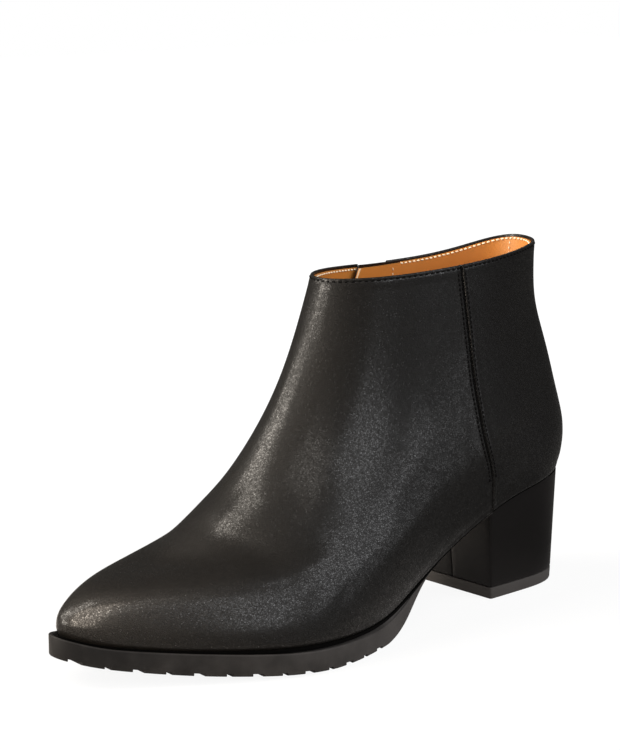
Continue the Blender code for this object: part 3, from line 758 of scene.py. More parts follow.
# %% Sole tables and outline
UNDER = (  # underside of the outsole along the boot: y, z
    (-126, 12.0), (-114, 8.6), (-100, 6.0), (-83, 3.8), (-63, 2.1), (-45, 0.8), (-28, 0.0), (6, 0.0),
    (15, 2.4), (22, 6.8), (30, 14.6), (38, 21.2), (50, 28.2), (62, 34.2), (76, 40.4),
)
SIDE = (  # y, how far the side stands out past the upper's edge, how far its rim drops
    (-126, 3.5, -0.9), (-110, 1.8, -0.9), (-75, 1.2, -0.8), (-40, 1.5, 0.0), (-15, 1.2, 0.2),
    (8, 0.0, 1.4), (28, -1.8, 2.0), (45, -3.2, 0.5), (80, -3.2, 0.3),
)
SOLE_EDGE = 0.6        # rounding of the sole's edges, mm
LUG_DEEP = 1.2
LUG_LONG = 6.9
GAP_NARROW = 2.2
GAP_WIDE = 4.0
LUG_FIRST_Y = -123.0
LUG_LAST_Y = 4.0
HEEL_AT = (1.0, 76.9)  # x and y of the heel's own origin, and its turn in degrees
HEEL_TURN = 5.0
HEEL_FOOT = (22.2, 22.4, 0.0, 50.0)   # half width at the breast, at its widest, breast, back
HEEL_SEAT = (24.8, 26.6, -4.0, 49.4)
SOLE_POINTS = 110


def breast_turn(inner):
    """Turn at which the sole's outline meets the heel's breast."""
    angle = math.radians(HEEL_TURN)
    low, high = 0.3, 2.2
    for _ in range(40):
        middle = (low + high) / 2
        turn = 2 * math.pi - middle if inner else middle
        x, y = edge_outline(np.array([turn]), np.array([SIDE[-1][1]]))[0]
        w = -(x - HEEL_AT[0]) * math.sin(angle) + (y - HEEL_AT[1]) * math.cos(angle)
        if w > HEEL_SEAT[2] - 2 * FIT_GAP:
            low = middle
        else:
            high = middle
    return 2 * math.pi - low if inner else low


def side_columns(y):
    """How far the sole's side stands out along the boot, and how far its rim drops."""
    table = np.asarray(SIDE, float)
    return np.moveaxis(weights(table[:, 0], y) @ table[:, 1:], -1, 0)


def sole_turns():
    """Turns of the outsole's outline, from the breast round the toe and back."""
    part = np.linspace(0, 1, SOLE_POINTS)
    outer, inner = [first + (math.pi - first) * part for first in (breast_turn(False), breast_turn(True))]
    return np.concatenate([outer, inner[-2::-1]])


SOLE_TURNS = sole_turns()
SOLE_OUT, _ = side_columns(upper_surface(SOLE_TURNS, np.zeros_like(SOLE_TURNS))[:, 1])


def sole_loop(inset):
    """Outline of the outsole, drawn in by an inset."""
    return edge_outline(SOLE_TURNS, SOLE_OUT - inset)


def under_z(y):
    """Height of the outsole's underside, never below the floor."""
    return np.maximum(through(UNDER, y), 0.0)


print("sole outline:", len(sole_loop(0.0)), "points")


# %% Build the sole
GROOVE_IN = 1.2        # groove in the sole's top beside the upper: inset and depth, mm
GROOVE_DEEP = 1.2
SEAT_IN = 1.6          # the upper's seat starts this far in


def lug_cutter():
    """Bars that cut the gaps between the lugs, one mesh across the whole sole."""
    verts = []
    faces = []
    y = LUG_FIRST_Y
    narrow = False
    while y < LUG_LAST_Y:
        long = GAP_NARROW if narrow else GAP_WIDE
        corners = [(y, -6.0), (y + long, -6.0)]
        corners += [(y + long, float(under_z(y + long)) + LUG_DEEP), (y, float(under_z(y)) + LUG_DEEP)]
        start = len(verts)
        verts += [(-80.0, a, b) for a, b in corners] + [(90.0, a, b) for a, b in corners]
        faces += [tuple(start + k for k in (3, 2, 1, 0)), tuple(start + k for k in (4, 5, 6, 7))]
        faces += ring_faces(4, start, start + 4)
        y += long + LUG_LONG
        narrow = not narrow
    return add_object("lug_cutter", closed_mesh("lug_cutter", verts, faces), SOLE_RUBBER)


def sole_loops():
    """Outlines of the sole from its underside up its side wall, over the rim and into the seat."""
    y = sole_loop(0.0)[:, 1]
    _, drop = side_columns(y)
    thick = seat_z(y) - FIT_GAP - under_z(y)
    edge = np.minimum(SOLE_EDGE, 0.25 * thick)
    rim = seat_z(y) - FIT_GAP - np.minimum(drop, 0.25 * thick)
    loops = []
    for a in np.radians((90, 60, 30, 0)):
        line = sole_loop(SOLE_EDGE * (1 - math.cos(a)))
        loops.append(on_height(line, under_z(line[:, 1]) + edge * (1 - math.sin(a))))
    for a in np.radians((0, 30, 60, 90)):
        line = sole_loop(SOLE_EDGE * (1 - math.cos(a)))
        loops.append(on_height(line, rim - edge * (1 - math.sin(a))))
    loops.append(on_height(sole_loop(SOLE_EDGE + 0.25), rim - 0.2))
    line = edge_outline(SOLE_TURNS, np.minimum(SOLE_OUT - GROOVE_IN, -0.4))
    loops.append(on_height(line, seat_z(line[:, 1]) - FIT_GAP - np.minimum(GROOVE_DEEP, 0.3 * thick)))
    line = edge_outline(SOLE_TURNS, np.minimum(SOLE_OUT - SEAT_IN, -2.4))
    loops.append(on_height(line, seat_z(line[:, 1]) - FIT_GAP))
    return loops


def evaluated_mesh(item):
    """Plain mesh of an object with its modifiers applied."""
    bpy.context.view_layer.update()
    return bpy.data.meshes.new_from_object(item.evaluated_get(bpy.context.evaluated_depsgraph_get()))


def build_sole():
    """Sole unit with rounded edges, and the gaps between its lugs cut out."""
    whole = add_object("whole_sole", closed_mesh("whole_sole", *loft(sole_loops())), SOLE_RUBBER)
    cutter = lug_cutter()
    cut = whole.modifiers.new("lug gaps", "BOOLEAN")
    cut.operation = "DIFFERENCE"
    cut.solver = "EXACT"
    cut.object = cutter
    mesh = evaluated_mesh(whole)
    bpy.data.objects.remove(whole)
    bpy.data.objects.remove(cutter)
    dress(add_object("rubber_sole", mesh, SOLE_RUBBER, sharp=35), "outsole")


build_sole()

# %% [markdown]
# ## Painted shade line
# Where the upper meets the sole, the groove under the turned edge lies in shade. That shade is
# painted on a thin ring of black, dull like dried cement. A dark band painted on the sole would
# have a soft border, so the ring is a piece of its own, which shows as a sharp dark line.

# %% Painted shade line
def matt_black(name, code, dark_code):
    """Black, dull, with faint lumps like dried cement: painted shade, so the joint reads as a shadow."""
    material, tree, shader, place = new_material(name)
    lumps = add_node(tree, "ShaderNodeTexNoise", {"Vector": place, "Scale": 1 / (1.5 * MM), "Detail": 3.0})
    lump = lumps.outputs["Fac"]
    tone_and_relief(tree, shader, lump, code, dark_code, lump, 0.5, 0.2 * MM)
    shader.inputs["Roughness"].default_value = 1.0
    shader.inputs["Specular IOR Level"].default_value = 0.05
    return material


# Painted shade: the black of the groove where the upper meets the sole.
PAINTED_SHADE_BLACK = matt_black("black_painted_shade", "080706", "030303")
SHADE_LINE_POINTS = 260
SHADE_LINE_SECTION = (  # inset from the upper's lower edge, mm, and share of the line's height
    (3.4, 0.0), (0.45, 0.0), (0.45, 1.0), (3.4, 1.0),
)


def build_shade_line():
    """Ring of painted shade in the groove, lower and further in at the waist and the heel."""
    turns = np.linspace(0, 2 * math.pi, SHADE_LINE_POINTS, endpoint=False)
    back = soft_step(upper_surface(turns, np.zeros_like(turns))[:, 1], 15.0, 55.0)
    loops = []
    for inset, share in SHADE_LINE_SECTION:
        flat = edge_outline(turns, -np.maximum(inset, 2.0 * back))
        loops.append(on_height(flat, seat_z(flat[:, 1]) - 0.1 + share * (1.2 - 0.85 * back)))
    faces = band_faces(loops) + ring_faces(SHADE_LINE_POINTS, 3 * SHADE_LINE_POINTS, 0)
    make_piece("painted_shade_line", np.concatenate(loops), faces, PAINTED_SHADE_BLACK, sharp=50)


build_shade_line()

# %% [markdown]
# ## Covered heel and toplift
# The heel is a plastic core with leather glued round it. The leather meets in a butt seam
# down the middle of the breast, and its lower edge is turned in over the rubber toplift. Both
# are lofts: one D-shaped outline, drawn again at each height with the size it has there.

# %% Heel outline
HEEL_SIDE_POWER = 2.8
HEEL_CORNER = 1.0      # rounding of the corners beside the breast, mm
HEEL_SEAM_HALF = 0.35
HEEL_SEAM_DEEP = 0.7


def heel_loop(breast_half, half, breast, back, inset=0.0, groove=0.0):
    """D outline of the heel seen from above, from the middle of its breast round the back."""
    side_end = breast + 0.4 * (back - breast)
    corner = HEEL_CORNER
    line = [(0.0, breast + groove), (HEEL_SEAM_HALF, breast + 0.15 * groove)]
    line += [(2 * HEEL_SEAM_HALF, breast)]
    line += [(u, breast) for u in np.linspace(3, breast_half - corner, 8)]
    for a in np.radians((22, 45, 68)):
        line.append((breast_half - corner + corner * math.sin(a), breast + corner - corner * math.cos(a)))
    for f in np.linspace(0, 1, 12, endpoint=False):
        bulge = breast_half + (half - breast_half) * math.sin(f * math.pi / 2)
        line.append((bulge, breast + corner + f * (side_end - breast - corner)))
    power = 2 / HEEL_SIDE_POWER
    for a in np.radians(np.linspace(0, 90, 31)[:-1]):
        line.append((half * math.cos(a) ** power, side_end + (back - side_end) * math.sin(a) ** power))
    line.append((0.0, back))
    line += [(-u, w) for u, w in reversed(line[1:-1])]
    u, w = np.array(line).T
    middle = 0.5 * (breast + back)
    u = u * (1 - inset / half)
    w = middle + (w - middle) * (1 - inset / (middle - breast))
    turn = math.radians(HEEL_TURN)
    x = HEEL_AT[0] + u * math.cos(turn) - w * math.sin(turn)
    y = HEEL_AT[1] + u * math.sin(turn) + w * math.cos(turn)
    return np.stack([x, y], -1)


def heel_size(part):
    """Heel outline sizes part of the way up from the floor to the seat."""
    return [low + (high - low) * part for low, high in zip(HEEL_FOOT, HEEL_SEAT)]


def fan_loft(loops):
    """Closed body through loops, each end closed by a fan round its middle."""
    size = len(loops[0])
    verts = list(np.concatenate(loops))
    faces = band_faces(loops)
    for low, loop in ((0, loops[0]), ((len(loops) - 1) * size, loops[-1])):
        verts.append(loop.mean(0))
        faces += [(low + k, low + (k + 1) % size, len(verts) - 1) for k in range(size)]
    return np.array(verts), faces


print("heel outline:", len(heel_loop(*HEEL_FOOT)), "points")

# %% Build heel and toplift
TOPLIFT_HIGH = 5.2
TOPLIFT_PART = 0.13    # the toplift's top and the cover's foot, as parts of the way up to the seat
COVER_PART = 0.14
TOPLIFT_EDGE = ((0.5, 0.0), (0.12, 0.12), (0.0, 0.5))               # inset and height of its rounding, mm
COVER_EDGE = ((0.7, 0.0), (0.35, 0.08), (0.1, 0.3), (0.0, 0.7))     # the same for the turned leather


def build_heel():
    """Covered heel, from its turned lower edge up to the seat."""
    foot_z = TOPLIFT_HIGH + FIT_GAP
    loops = []
    for inset, lift in COVER_EDGE:
        flat = heel_loop(*heel_size(COVER_PART), inset=inset, groove=HEEL_SEAM_DEEP)
        loops.append(on_height(flat, np.full(len(flat), foot_z + lift)))
    wall_z = foot_z + COVER_EDGE[-1][1]
    for part in np.linspace(0.05, 1.0, 14):
        flat = heel_loop(*heel_size(COVER_PART + (1 - COVER_PART) * part), groove=HEEL_SEAM_DEEP)
        top = seat_z(flat[:, 1]) - FIT_GAP
        loops.append(on_height(flat, wall_z + (top - wall_z) * part))
    verts, faces = fan_loft(loops)
    make_piece("heel_cover", verts, faces, HEEL_CALF, "heel_block", sharp=40)


def build_toplift():
    """Rubber toplift with rounded edges."""
    loops = []
    upper_edge = tuple((inset, TOPLIFT_HIGH - z) for inset, z in reversed(TOPLIFT_EDGE))
    for inset, z in TOPLIFT_EDGE + upper_edge:
        flat = heel_loop(*heel_size(TOPLIFT_PART * z / TOPLIFT_HIGH), inset=inset)
        loops.append(on_height(flat, np.full(len(flat), z)))
    verts, faces = fan_loft(loops)
    make_piece("toplift", verts, faces, TOPLIFT_RUBBER, "heel_toplift", sharp=40)


build_heel()
build_toplift()

# %% [markdown]
# ## Stitches
# A row of stitches is one short capsule of thread, repeated at a fixed pitch along a line on
# the leather. Geometry Nodes is made for this: the line is a chain of edges that carries the
# surface's normal at each point, the tree resamples it at the pitch, and a capsule is set on
# each point, turned along the line and upright on the leather.

# %% Thread
def sewing_thread(name, code, dark_code, roughness, gloss):
    """Twisted thread: fine uneven ridges, with painted shade darker between the strands."""
    material, tree, shader, place = new_material(name)
    strands = add_node(tree, "ShaderNodeTexNoise", {"Vector": place, "Scale": 1 / (0.4 * MM), "Detail": 1.0})
    twist = strands.outputs["Fac"]
    # The same pattern raises the strands and darkens the hollows between them, a painted shade.
    tone_and_relief(tree, shader, twist, code, dark_code, twist, 0.3, 0.1 * MM)
    shader.inputs["Roughness"].default_value = roughness
    shader.inputs["Specular IOR Level"].default_value = gloss
    return material


BLACK_THREAD = sewing_thread("black_polyester_thread", "080706", "040303", 0.9, 0.1)
CREAM_THREAD = sewing_thread("cream_polyester_thread", "FBEDD2", "E6D2AE", 0.7, 0.4)
print("threads:", BLACK_THREAD.name, CREAM_THREAD.name)


# %% Stitch tree
def stitch_tree():
    """Geometry nodes that set a capsule of thread at each step of a line."""
    tree = bpy.data.node_groups.new("stitch_row", "GeometryNodeTree")
    sockets = tree.interface
    sockets.new_socket("Geometry", in_out="INPUT", socket_type="NodeSocketGeometry")
    for name in ("Pitch", "Length", "Width"):
        sockets.new_socket(name, in_out="INPUT", socket_type="NodeSocketFloat")
    sockets.new_socket("Thread", in_out="INPUT", socket_type="NodeSocketMaterial")
    sockets.new_socket("Geometry", in_out="OUTPUT", socket_type="NodeSocketGeometry")
    given = add_node(tree, "NodeGroupInput").outputs
    line = add_node(tree, "GeometryNodeMeshToCurve", {"Mesh": given["Geometry"]})
    steps = add_node(tree, "GeometryNodeResampleCurve", {"Curve": line.outputs[0], "Length": given["Pitch"]},
                     mode="LENGTH")
    way = add_node(tree, "GeometryNodeInputTangent")
    out = add_node(tree, "GeometryNodeInputNamedAttribute", {"Name": "leather_normal"},
                   data_type="FLOAT_VECTOR")
    turned = add_node(tree, "FunctionNodeAxesToRotation",
                      {"Primary Axis": out.outputs[0], "Secondary Axis": way.outputs[0]},
                      primary_axis="Z", secondary_axis="X")
    size = add_node(tree, "ShaderNodeCombineXYZ", {"X": given["Length"], "Y": given["Width"],
                                                   "Z": given["Width"]})
    bead = add_node(tree, "GeometryNodeMeshUVSphere", {"Segments": 8, "Rings": 6, "Radius": 0.5})
    smooth = add_node(tree, "GeometryNodeSetShadeSmooth", {"Geometry": bead.outputs["Mesh"]})
    placed = add_node(tree, "GeometryNodeInstanceOnPoints",
                      {"Points": steps.outputs[0], "Instance": smooth.outputs[0],
                       "Rotation": turned.outputs[0], "Scale": size.outputs[0]})
    real = add_node(tree, "GeometryNodeRealizeInstances", {"Geometry": placed.outputs[0]})
    dressed = add_node(tree, "GeometryNodeSetMaterial", {"Geometry": real.outputs[0],
                                                         "Material": given["Thread"]})
    add_node(tree, "NodeGroupOutput", {"Geometry": dressed.outputs[0]})
    return tree


STITCH_ROW = stitch_tree()
print("stitch tree:", len(STITCH_ROW.nodes), "nodes")


# %% Sewing
def sew(name, rows, sizes, thread):
    """Stitches of a pitch, length and width along rows of points and normals, as one mesh."""
    edges = []
    start = 0
    for line, _ in rows:
        edges += [(start + k, start + k + 1) for k in range(len(line) - 1)]
        start += len(line)
    mesh = bpy.data.meshes.new(name)
    points = np.concatenate([line for line, _ in rows])
    normals = np.concatenate([normal for _, normal in rows])
    mesh.from_pydata(to_frame(points).tolist(), edges, [])
    spot = mesh.attributes.new("leather_normal", "FLOAT_VECTOR", "POINT")
    spot.data.foreach_set("vector", normals.astype(np.float32).ravel())
    row = bpy.data.objects.new(name, mesh)
    bpy.context.scene.collection.objects.link(row)
    nodes = row.modifiers.new("stitches", "NODES")
    nodes.node_group = STITCH_ROW
    ids = {item.name: item.identifier for item in STITCH_ROW.interface.items_tree if item.in_out == "INPUT"}
    for key, size in zip(("Pitch", "Length", "Width"), sizes):
        nodes[ids[key]] = size * MM
    nodes[ids["Thread"]] = thread
    made = evaluated_mesh(row)
    row.modifiers.clear()
    row.data = made
    dress(row)


def on_leather(turns, levels, lift=0.0):
    """Points and normals on the upper's relief along a line of turns and levels."""
    turns = np.asarray(turns, float)
    levels = np.asarray(levels, float)
    point, normal = upper_frame(turns, levels)
    below = (1 - levels) * rise(turns, np.full(len(turns), 0.99))
    height = upper_relief(levels, turns, below, point)
    return point + normal * (height + lift)[:, None], normal


SEAM_LEVELS = np.linspace(STITCH_LEVEL, 0.985, 160)
seam_line, _ = on_leather(seam_turn(SEAM_LEVELS), SEAM_LEVELS)
steps = np.linalg.norm(np.diff(seam_line, axis=0), axis=1)
print("sewn length of the side seam, mm:", round(float(steps.sum())))

# %% Rows on the leather
SEAM_SEWING = (1.95, 1.45, 0.85)    # pitch, length and width of the stitches, mm
COLLAR_SEWING = (2.6, 1.7, 0.85)


def seam_rows():
    """Rows beside the side seam and down its groove, and the bar that ends them."""
    seam = seam_turn(SEAM_LEVELS)
    away = SEAM_ROW / pace(seam, SEAM_LEVELS)
    rows = [on_leather(seam + side * away, SEAM_LEVELS) for side in (-1, 1)]
    rows.append(on_leather(seam, SEAM_LEVELS, lift=0.3))
    bar = np.linspace(-SEAM_ROW, SEAM_ROW, 9)
    level = np.full(9, STITCH_LEVEL - 0.004)
    seam = seam_turn(level)
    rows.append(on_leather(seam + bar / pace(seam, level), level, lift=0.15))
    return rows


def slot_rows():
    """Rows down both sides of the zip's slot."""
    levels = np.linspace(SLOT_END - 0.02, 0.975, 150)
    middle = zip_turn(levels)
    away = (slot_half(levels) + SLOT_ROW) / pace(middle, levels)
    return [on_leather(middle + side * away, levels) for side in (-1, 1)]


def collar_turns():
    """Turns along the collar, in front of the slot and behind it."""
    middle = float(zip_turn(0.98))
    gap = float((slot_half(0.98) + 2.5) / pace(middle, 0.98))
    return np.linspace(0.0, middle - gap, 300), np.linspace(middle + gap, 2 * math.pi, 120)


def below_collar(turns, distance):
    """Levels at a distance below the collar."""
    return 1 - distance / rise(turns, np.full(len(turns), 0.99))


collar_rows = [on_leather(turns, below_collar(turns, COLLAR_ROW)) for turns in collar_turns()]
sew("seam_stitches", seam_rows(), SEAM_SEWING, BLACK_THREAD)
sew("collar_stitches", collar_rows, COLLAR_SEWING, BLACK_THREAD)
sew("slot_stitches", slot_rows(), SEAM_SEWING, BLACK_THREAD)

# %% Rows on the lining
LINING_ROW = 1.8       # stitch row below the collar, mm
LINING_SEWING = (2.05, 1.55, 0.8)
BACK_SEWING = (2.2, 1.3, 0.5)
BACK_SEAM_TURN = math.radians(351)


def on_lining(turns, levels, lift=0.1):
    """Points on the lining and normals towards the foot."""
    point, normal = upper_frame(turns, levels)
    return point - normal * (WALL + lift), -normal


lining_rows = [on_lining(turns, below_collar(turns, LINING_ROW)) for turns in collar_turns()]
back_row = on_lining(np.full(90, BACK_SEAM_TURN), np.linspace(0.55, 0.978, 90))
sew("lining_stitches", lining_rows, LINING_SEWING, CREAM_THREAD)
sew("lining_back_seam", [back_row], BACK_SEWING, CREAM_THREAD)

# %% [markdown]
# ## Zip
# The zip has a woven tape, a chain of moulded teeth, and a metal slider with a pull tab. A
# leather guard lies behind it. The teeth are set along the tape's middle line by Geometry
# Nodes, like the stitches, from two lines about half a pitch apart. The slider and the tab
# start as copies of their solids, because only their edges have to be rounded.

# %% Zip materials
THREE_RIBS = 4.5 * MM  # the wave draws about three ribs in this size, coarse enough to show


def woven_tape(name, code, dark_code):
    """Polyester zip tape: matt, with cross ribs of thread that catch a little light, painted lighter on
    their tops and darker between them.
    """
    material, tree, shader, place = new_material(name)
    threads = add_node(tree, "ShaderNodeTexWave", {"Vector": place, "Scale": 1 / THREE_RIBS,
                                                   "Distortion": 1.5}, bands_direction="Z")
    weave = threads.outputs["Fac"]
    # The weave's pattern raises the ribs and paints them lighter on top and darker between: a painted
    # highlight and shade.
    tone_and_relief(tree, shader, weave, code, dark_code, weave, 0.4, 0.2 * MM)
    shader.inputs["Roughness"].default_value = 0.85
    return material


def gunmetal(name, code, worn_code):
    """Plated zinc alloy: polished, and duller where it is slightly worn."""
    material, tree, shader, place = new_material(name)
    wear = add_node(tree, "ShaderNodeTexNoise", {"Vector": place, "Scale": 1 / (2 * MM), "Detail": 5.0})
    gloss = add_node(tree, "ShaderNodeMapRange", {"Value": wear.outputs["Fac"], "To Min": 0.18,
                                                  "To Max": 0.42})
    tint = add_node(tree, "ShaderNodeMix", {"Factor": wear.outputs["Fac"], 6: linear(worn_code),
                                            7: linear(code)}, data_type="RGBA")
    tree.links.new(tint.outputs[2], shader.inputs["Base Color"])
    tree.links.new(gloss.outputs[0], shader.inputs["Roughness"])
    shader.inputs["Metallic"].default_value = 1.0
    return material


TAPE_CLOTH = woven_tape("woven_zip_tape", "1E1C1B", "141211")
ZIP_METAL = gunmetal("gunmetal_zip_slider", "8F8A85", "827C77")
# Moulded nylon is smoother than thread, so each tooth has a small soft shine.
TOOTH_NYLON = sewing_thread("moulded_nylon_teeth", "201E1D", "181615", 0.4, 0.5)
print("zip materials:", TAPE_CLOTH.name, ZIP_METAL.name, TOOTH_NYLON.name)

# %% Tape and guard
TAPE_HALF = 11.0
TAPE_THICK = 1.0
TAPE_FACE = WALL + 0.5              # depths of the tape's and the guard's outer faces, mm
GUARD_FACE = TAPE_FACE + TAPE_THICK + 0.4
GUARD_THICK = 1.2
GUARD_HALF = 13.0      # the guard's fixed back edge, mm from the zip
GUARD_FRONT = 15.0     # its loose front edge
GUARD_CORNER = 2.8     # its front top corner is cut off slanting
RAW_EDGE = 0.9         # width of the pale strip along the front edge


def zip_grid(across, depth, levels):
    """Points at distances across the zip line and depths under the surface, on each level."""
    rows = []
    for level in levels:
        over = max(level - 1.0, 0.0)
        level = min(level, 1.0)
        turn = float(zip_turn(level))
        turns = turn + np.asarray(across) / pace(turn, level)
        point, normal = upper_frame(turns, np.full(len(turns), level))
        upward = point - upper_surface(turns, np.full(len(turns), level - 0.01))
        point = point + upward * over / 0.01
        rows.append(point - normal * np.broadcast_to(depth, len(turns))[:, None])
    return np.array(rows)


def build_tape():
    """Zip tape with a low ridge under the teeth."""
    across = np.linspace(-TAPE_HALF, TAPE_HALF, 25)
    levels = np.linspace(SLOT_END - 0.015, 0.98, 60)
    front = zip_grid(across, TAPE_FACE - 0.5 * bell(across, 0, 1.6), levels)
    back = zip_grid(across, TAPE_FACE + TAPE_THICK, levels)
    verts, faces = shell(front, back, around=False)
    make_piece("zip_tape_cloth", verts, faces, TAPE_CLOTH, "zip_tape", sharp=50)


def guard_layer(name, depths, top, material, node=None, width=None):
    """Layer of the guard between two depths, or a strip of it along its front edge."""
    levels = np.concatenate([np.linspace(SLOT_END - 0.02, 0.94, 40), np.linspace(0.945, top, 16)])
    grids = []
    for depth in depths:
        rows = []
        for level in levels:
            front = GUARD_CORNER * np.clip((level - 0.977) / 0.021, 0, 1) - GUARD_FRONT
            back = front + width if width else GUARD_HALF
            rows.append(zip_grid(np.linspace(front, back, 21), depth, [level])[0])
        grids.append(np.array(rows))
    verts, faces = shell(grids[0], grids[1], around=False)
    make_piece(name, verts, faces, material, node, sharp=50)


GUARD_BACK = GUARD_FACE + GUARD_THICK
build_tape()
guard_layer("zip_guard_lining", (GUARD_FACE + 0.7, GUARD_BACK), 0.998, TAN, "zip_guard")
guard_layer("zip_guard_leather", (GUARD_FACE, GUARD_FACE + 0.68), 1.0025, CALF)
guard_layer("zip_guard_edge", (GUARD_BACK - 0.1, GUARD_BACK + 0.15), 0.998, CREAM_EDGE,
            width=RAW_EDGE)


# %% Chain of teeth and the guard's stitches
TOOTH_SIZES = (2.0, 1.25, 2.2)      # pitch, length and width, mm
GUARD_ROW = 8.6                     # stitch row behind the zip


def zip_row(across, depth, levels):
    """Points and normals along the zip line, at a distance across it and a depth."""
    middle = zip_turn(levels)
    point, normal = upper_frame(middle + across / pace(middle, levels), levels)
    return point - normal * depth, normal


chain = [zip_row(side, TAPE_FACE - 0.9, np.linspace(SLOT_END + 0.016 + 0.004 * side, 0.97, 200))
         for side in (-1, 1)]
sew("zip_teeth", chain, TOOTH_SIZES, TOOTH_NYLON)
line, normal = zip_row(GUARD_ROW, GUARD_BACK + 0.1, np.linspace(0.60, 0.988, 90))
sew("guard_stitches", [(line, -normal)], BACK_SEWING, CREAM_THREAD)


# %% Slider and pull tab
def rounded_copy(name, node, width, body):
    """Metal copy of a CAD node with its flat faces joined and its edges rounded."""
    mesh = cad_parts[node].data.copy()
    work = bmesh.new()
    work.from_mesh(mesh)
    bmesh.ops.remove_doubles(work, verts=work.verts, dist=0.005 * MM)
    bmesh.ops.dissolve_limit(work, angle_limit=math.radians(2), verts=work.verts, edges=work.edges)
    edges = [e for e in work.edges if len(e.link_faces) == 2 and e.calc_face_angle(0) > math.radians(25)]
    bmesh.ops.bevel(work, geom=edges, offset=width * MM, segments=3, profile=0.5, affect="EDGES",
                    clamp_overlap=True)
    work.to_mesh(mesh)
    work.free()
    dress(add_object(name, mesh, ZIP_METAL, sharp=40), node, body)


rounded_copy("slider_body", "zip_slider", 0.22, "boot")
rounded_copy("pull_tab_plate", "zip_pull_tab", 0.2, "pull_tab")

# %% [markdown]
# ## Stage
# The boot stands on a pale floor in front of white paper. Black leather shows mostly what it
# mirrors, so each soft box is placed for its reflection. Three leaning boxes on the toe's
# inner side make the long highlight on the instep, and a low one in front lights the collar.
# Weaker wide ones over and beside the outer side give the quarter its grey. A small one is
# close to the toe, and light linking lets it light the upper alone, as black card would keep
# it off the sole in a studio. The paper is lit on its own, so it looks white but lights the
# boot only a little.

# %% Floor and paper
FLOOR_HALF = 3.0                    # metres, as all sizes of the stage
NEAR = 0.20                         # the paper is a little darker within this distance of the boot
FAR = 0.70                          # and full white from this one on
CARD = (-0.09, -0.01, 0.0)          # a white card lies here, on the inner side of the arch
CARD_REACH = (0.07, 0.20)           # it is full within the first distance and ends at the second


def white_paper(name):
    """Paper that the camera sees nearly white. It throws light back beside the arch only."""
    material, tree, shader, place = new_material(name)
    away = add_node(tree, "ShaderNodeVectorMath", {0: place}, operation="LENGTH")
    apart = add_node(tree, "ShaderNodeMapRange", {"Value": away.outputs["Value"], "From Min": NEAR,
                                                  "From Max": FAR})
    aside = add_node(tree, "ShaderNodeVectorMath", {0: place, 1: CARD}, operation="DISTANCE")
    dim = add_node(tree, "ShaderNodeMapRange", {"Value": aside.outputs["Value"],
                                                "From Min": CARD_REACH[0], "From Max": CARD_REACH[1]})
    given = add_node(tree, "ShaderNodeMix", {"Factor": dim.outputs[0], 6: linear("F3EEEA"),
                                             7: linear("6F6F6F")}, data_type="RGBA")
    tree.links.new(given.outputs[2], shader.inputs["Base Color"])
    shader.inputs["Roughness"].default_value = 0.9
    shader.inputs["Specular IOR Level"].default_value = 0.0
    strength = add_node(tree, "ShaderNodeMapRange", {"Value": apart.outputs[0], "To Min": 0.90,
                                                     "To Max": 1.02})
    glow = add_node(tree, "ShaderNodeEmission", {"Color": linear("FFFFFF"), "Strength": strength.outputs[0]})
    shade = add_node(tree, "ShaderNodeBsdfDiffuse", {"Color": linear("595959")})
    seen = add_node(tree, "ShaderNodeAddShader", {0: shade.outputs[0], 1: glow.outputs[0]})
    path = add_node(tree, "ShaderNodeLightPath")
    card = add_node(tree, "ShaderNodeMapRange", {"Value": dim.outputs[0], "To Min": 0.27, "To Max": 0.0})
    lit = add_node(tree, "ShaderNodeEmission", {"Color": linear("FFF7EF"), "Strength": card.outputs[0]})
    bounce = add_node(tree, "ShaderNodeAddShader", {0: shader.outputs[0], 1: lit.outputs[0]})
    mixed = add_node(tree, "ShaderNodeMixShader", {0: path.outputs["Is Camera Ray"], 1: bounce.outputs[0],
                                                   2: seen.outputs[0]})
    tree.links.new(mixed.outputs[0], tree.nodes["Material Output"].inputs["Surface"])
    return material


floor_mesh = bpy.data.meshes.new("floor")
floor_mesh.from_pydata([(-FLOOR_HALF, -FLOOR_HALF, 0), (FLOOR_HALF, -FLOOR_HALF, 0),
                        (FLOOR_HALF, FLOOR_HALF, 0), (-FLOOR_HALF, FLOOR_HALF, 0)], [], [(0, 1, 2, 3)])
floor = bpy.data.objects.new("floor", floor_mesh)
bpy.context.scene.collection.objects.link(floor)
floor_mesh.materials.append(white_paper("floor_paper"))

world = bpy.data.worlds.new("studio")
bpy.context.scene.world = world
world.use_nodes = True
sky = world.node_tree
sky.nodes.clear()
path = add_node(sky, "ShaderNodeLightPath")
paper = add_node(sky, "ShaderNodeBackground", {"Color": linear("FFFFFF"), "Strength": 1.0})
room = add_node(sky, "ShaderNodeBackground", {"Color": linear("FFFDFA"), "Strength": 0.11})
either = add_node(sky, "ShaderNodeMixShader", {0: path.outputs["Is Camera Ray"], 1: room.outputs[0],
                                               2: paper.outputs[0]})
add_node(sky, "ShaderNodeOutputWorld", {"Surface": either.outputs[0]})
bpy.context.scene.view_settings.view_transform = "Standard"
print("stage:", floor.name, world.name)

# %% Lights
MIDDLE = (0.0, 0.0, 0.06)
TOE = (-0.006, -0.112, 0.028)
QUARTER = (0.03, 0.05, 0.06)
WARM = "FFF6EA"
COOL = "FBFCFF"


def stand(holder, aim, azimuth, elevation, distance):
    """Aim a lamp or camera at a point: azimuth 0 is in front of the toe, 90 on the outer side."""
    a = math.radians(azimuth)
    e = math.radians(elevation)
    back = Vector((math.sin(a) * math.cos(e), -math.cos(a) * math.cos(e), math.sin(e)))
    holder.location = Vector(aim) + back * distance
    holder.rotation_mode = "QUATERNION"
    holder.rotation_quaternion = (-back).to_track_quat("-Z", "Y")
    bpy.context.scene.collection.objects.link(holder)


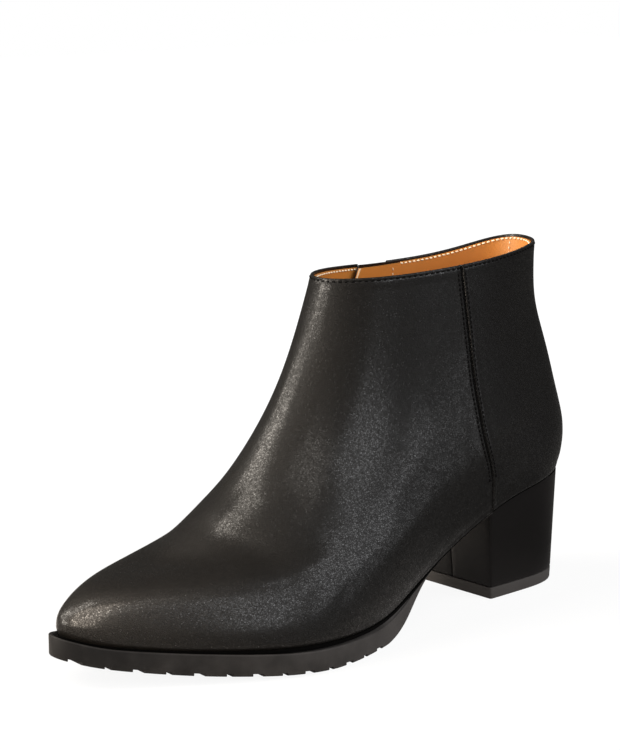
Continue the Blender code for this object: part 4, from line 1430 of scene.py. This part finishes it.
def soft_box(name, aim, azimuth, elevation, distance, width, height, radiance, colour):
    """Area light with sizes in metres, aimed at the point whose reflection it makes."""
    lamp = bpy.data.lights.new(name, "AREA")
    lamp.shape = "RECTANGLE"
    lamp.size = width
    lamp.size_y = height
    lamp.energy = radiance * math.pi * width * height
    lamp.color = linear(colour)[:3]
    holder = bpy.data.objects.new(name, lamp)
    holder.visible_camera = False
    stand(holder, aim, azimuth, elevation, distance)
    return holder


soft_box("instep_low_box", MIDDLE, -42, 25, 1.2, 0.88, 0.34, 7.9, WARM)
soft_box("instep_box", MIDDLE, -36, 41.5, 1.2, 0.58, 0.36, 14.0, WARM)
soft_box("instep_top_box", MIDDLE, -20, 60, 1.2, 0.38, 0.43, 12.3, WARM)
soft_box("collar_box", MIDDLE, -15, 9, 1.2, 0.64, 0.34, 16.5, WARM)
soft_box("top_box", MIDDLE, 50, 46, 1.3, 0.52, 0.50, 3.3, "FFF8F0")
soft_box("side_box", MIDDLE, 84, 27, 1.3, 0.58, 0.65, 3.9, COOL)
soft_box("quarter_box", MIDDLE, 122, 34, 1.3, 0.80, 1.20, 3.4, COOL)
soft_box("low_box", QUARTER, 126, 0, 0.2, 0.10, 0.09, 1.3, COOL)
toe_box = soft_box("toe_box", TOE, 33, 33, 0.102, 0.072, 0.125, 13.0, "FFF0DE")
lit_by_toe_box = bpy.data.collections.new("lit_by_toe_box")
lit_by_toe_box.objects.link(upper)
toe_box.light_linking.receiver_collection = lit_by_toe_box
soft_box("back_box", MIDDLE, -150, 38, 1.4, 0.9, 0.7, 0.4, "FFFFFF")

# %% [markdown]
# ## Camera
# The camera stands a metre from the boot, in front of its outer side and a little above, with
# a long lens, as the photograph was taken.

# %% Camera
CAMERA_AZIMUTH = 51.633
CAMERA_ELEVATION = 11.968
CAMERA_DISTANCE = 1.0
CAMERA_TARGET = to_frame([-72.843, 56.287, 85.0])
PHOTO_FOCAL = 2243.147     # focal length in pixels of a picture 750 pixels high
PHOTO_LONG_SIDE = 750

camera_data = bpy.data.cameras.new("camera")
camera_data.sensor_width = 36.0
camera_data.lens = PHOTO_FOCAL / PHOTO_LONG_SIDE * camera_data.sensor_width
camera = bpy.data.objects.new("camera", camera_data)
stand(camera, CAMERA_TARGET, CAMERA_AZIMUTH, CAMERA_ELEVATION, CAMERA_DISTANCE)
bpy.context.scene.camera = camera
print("lens:", round(camera_data.lens, 2), "mm")
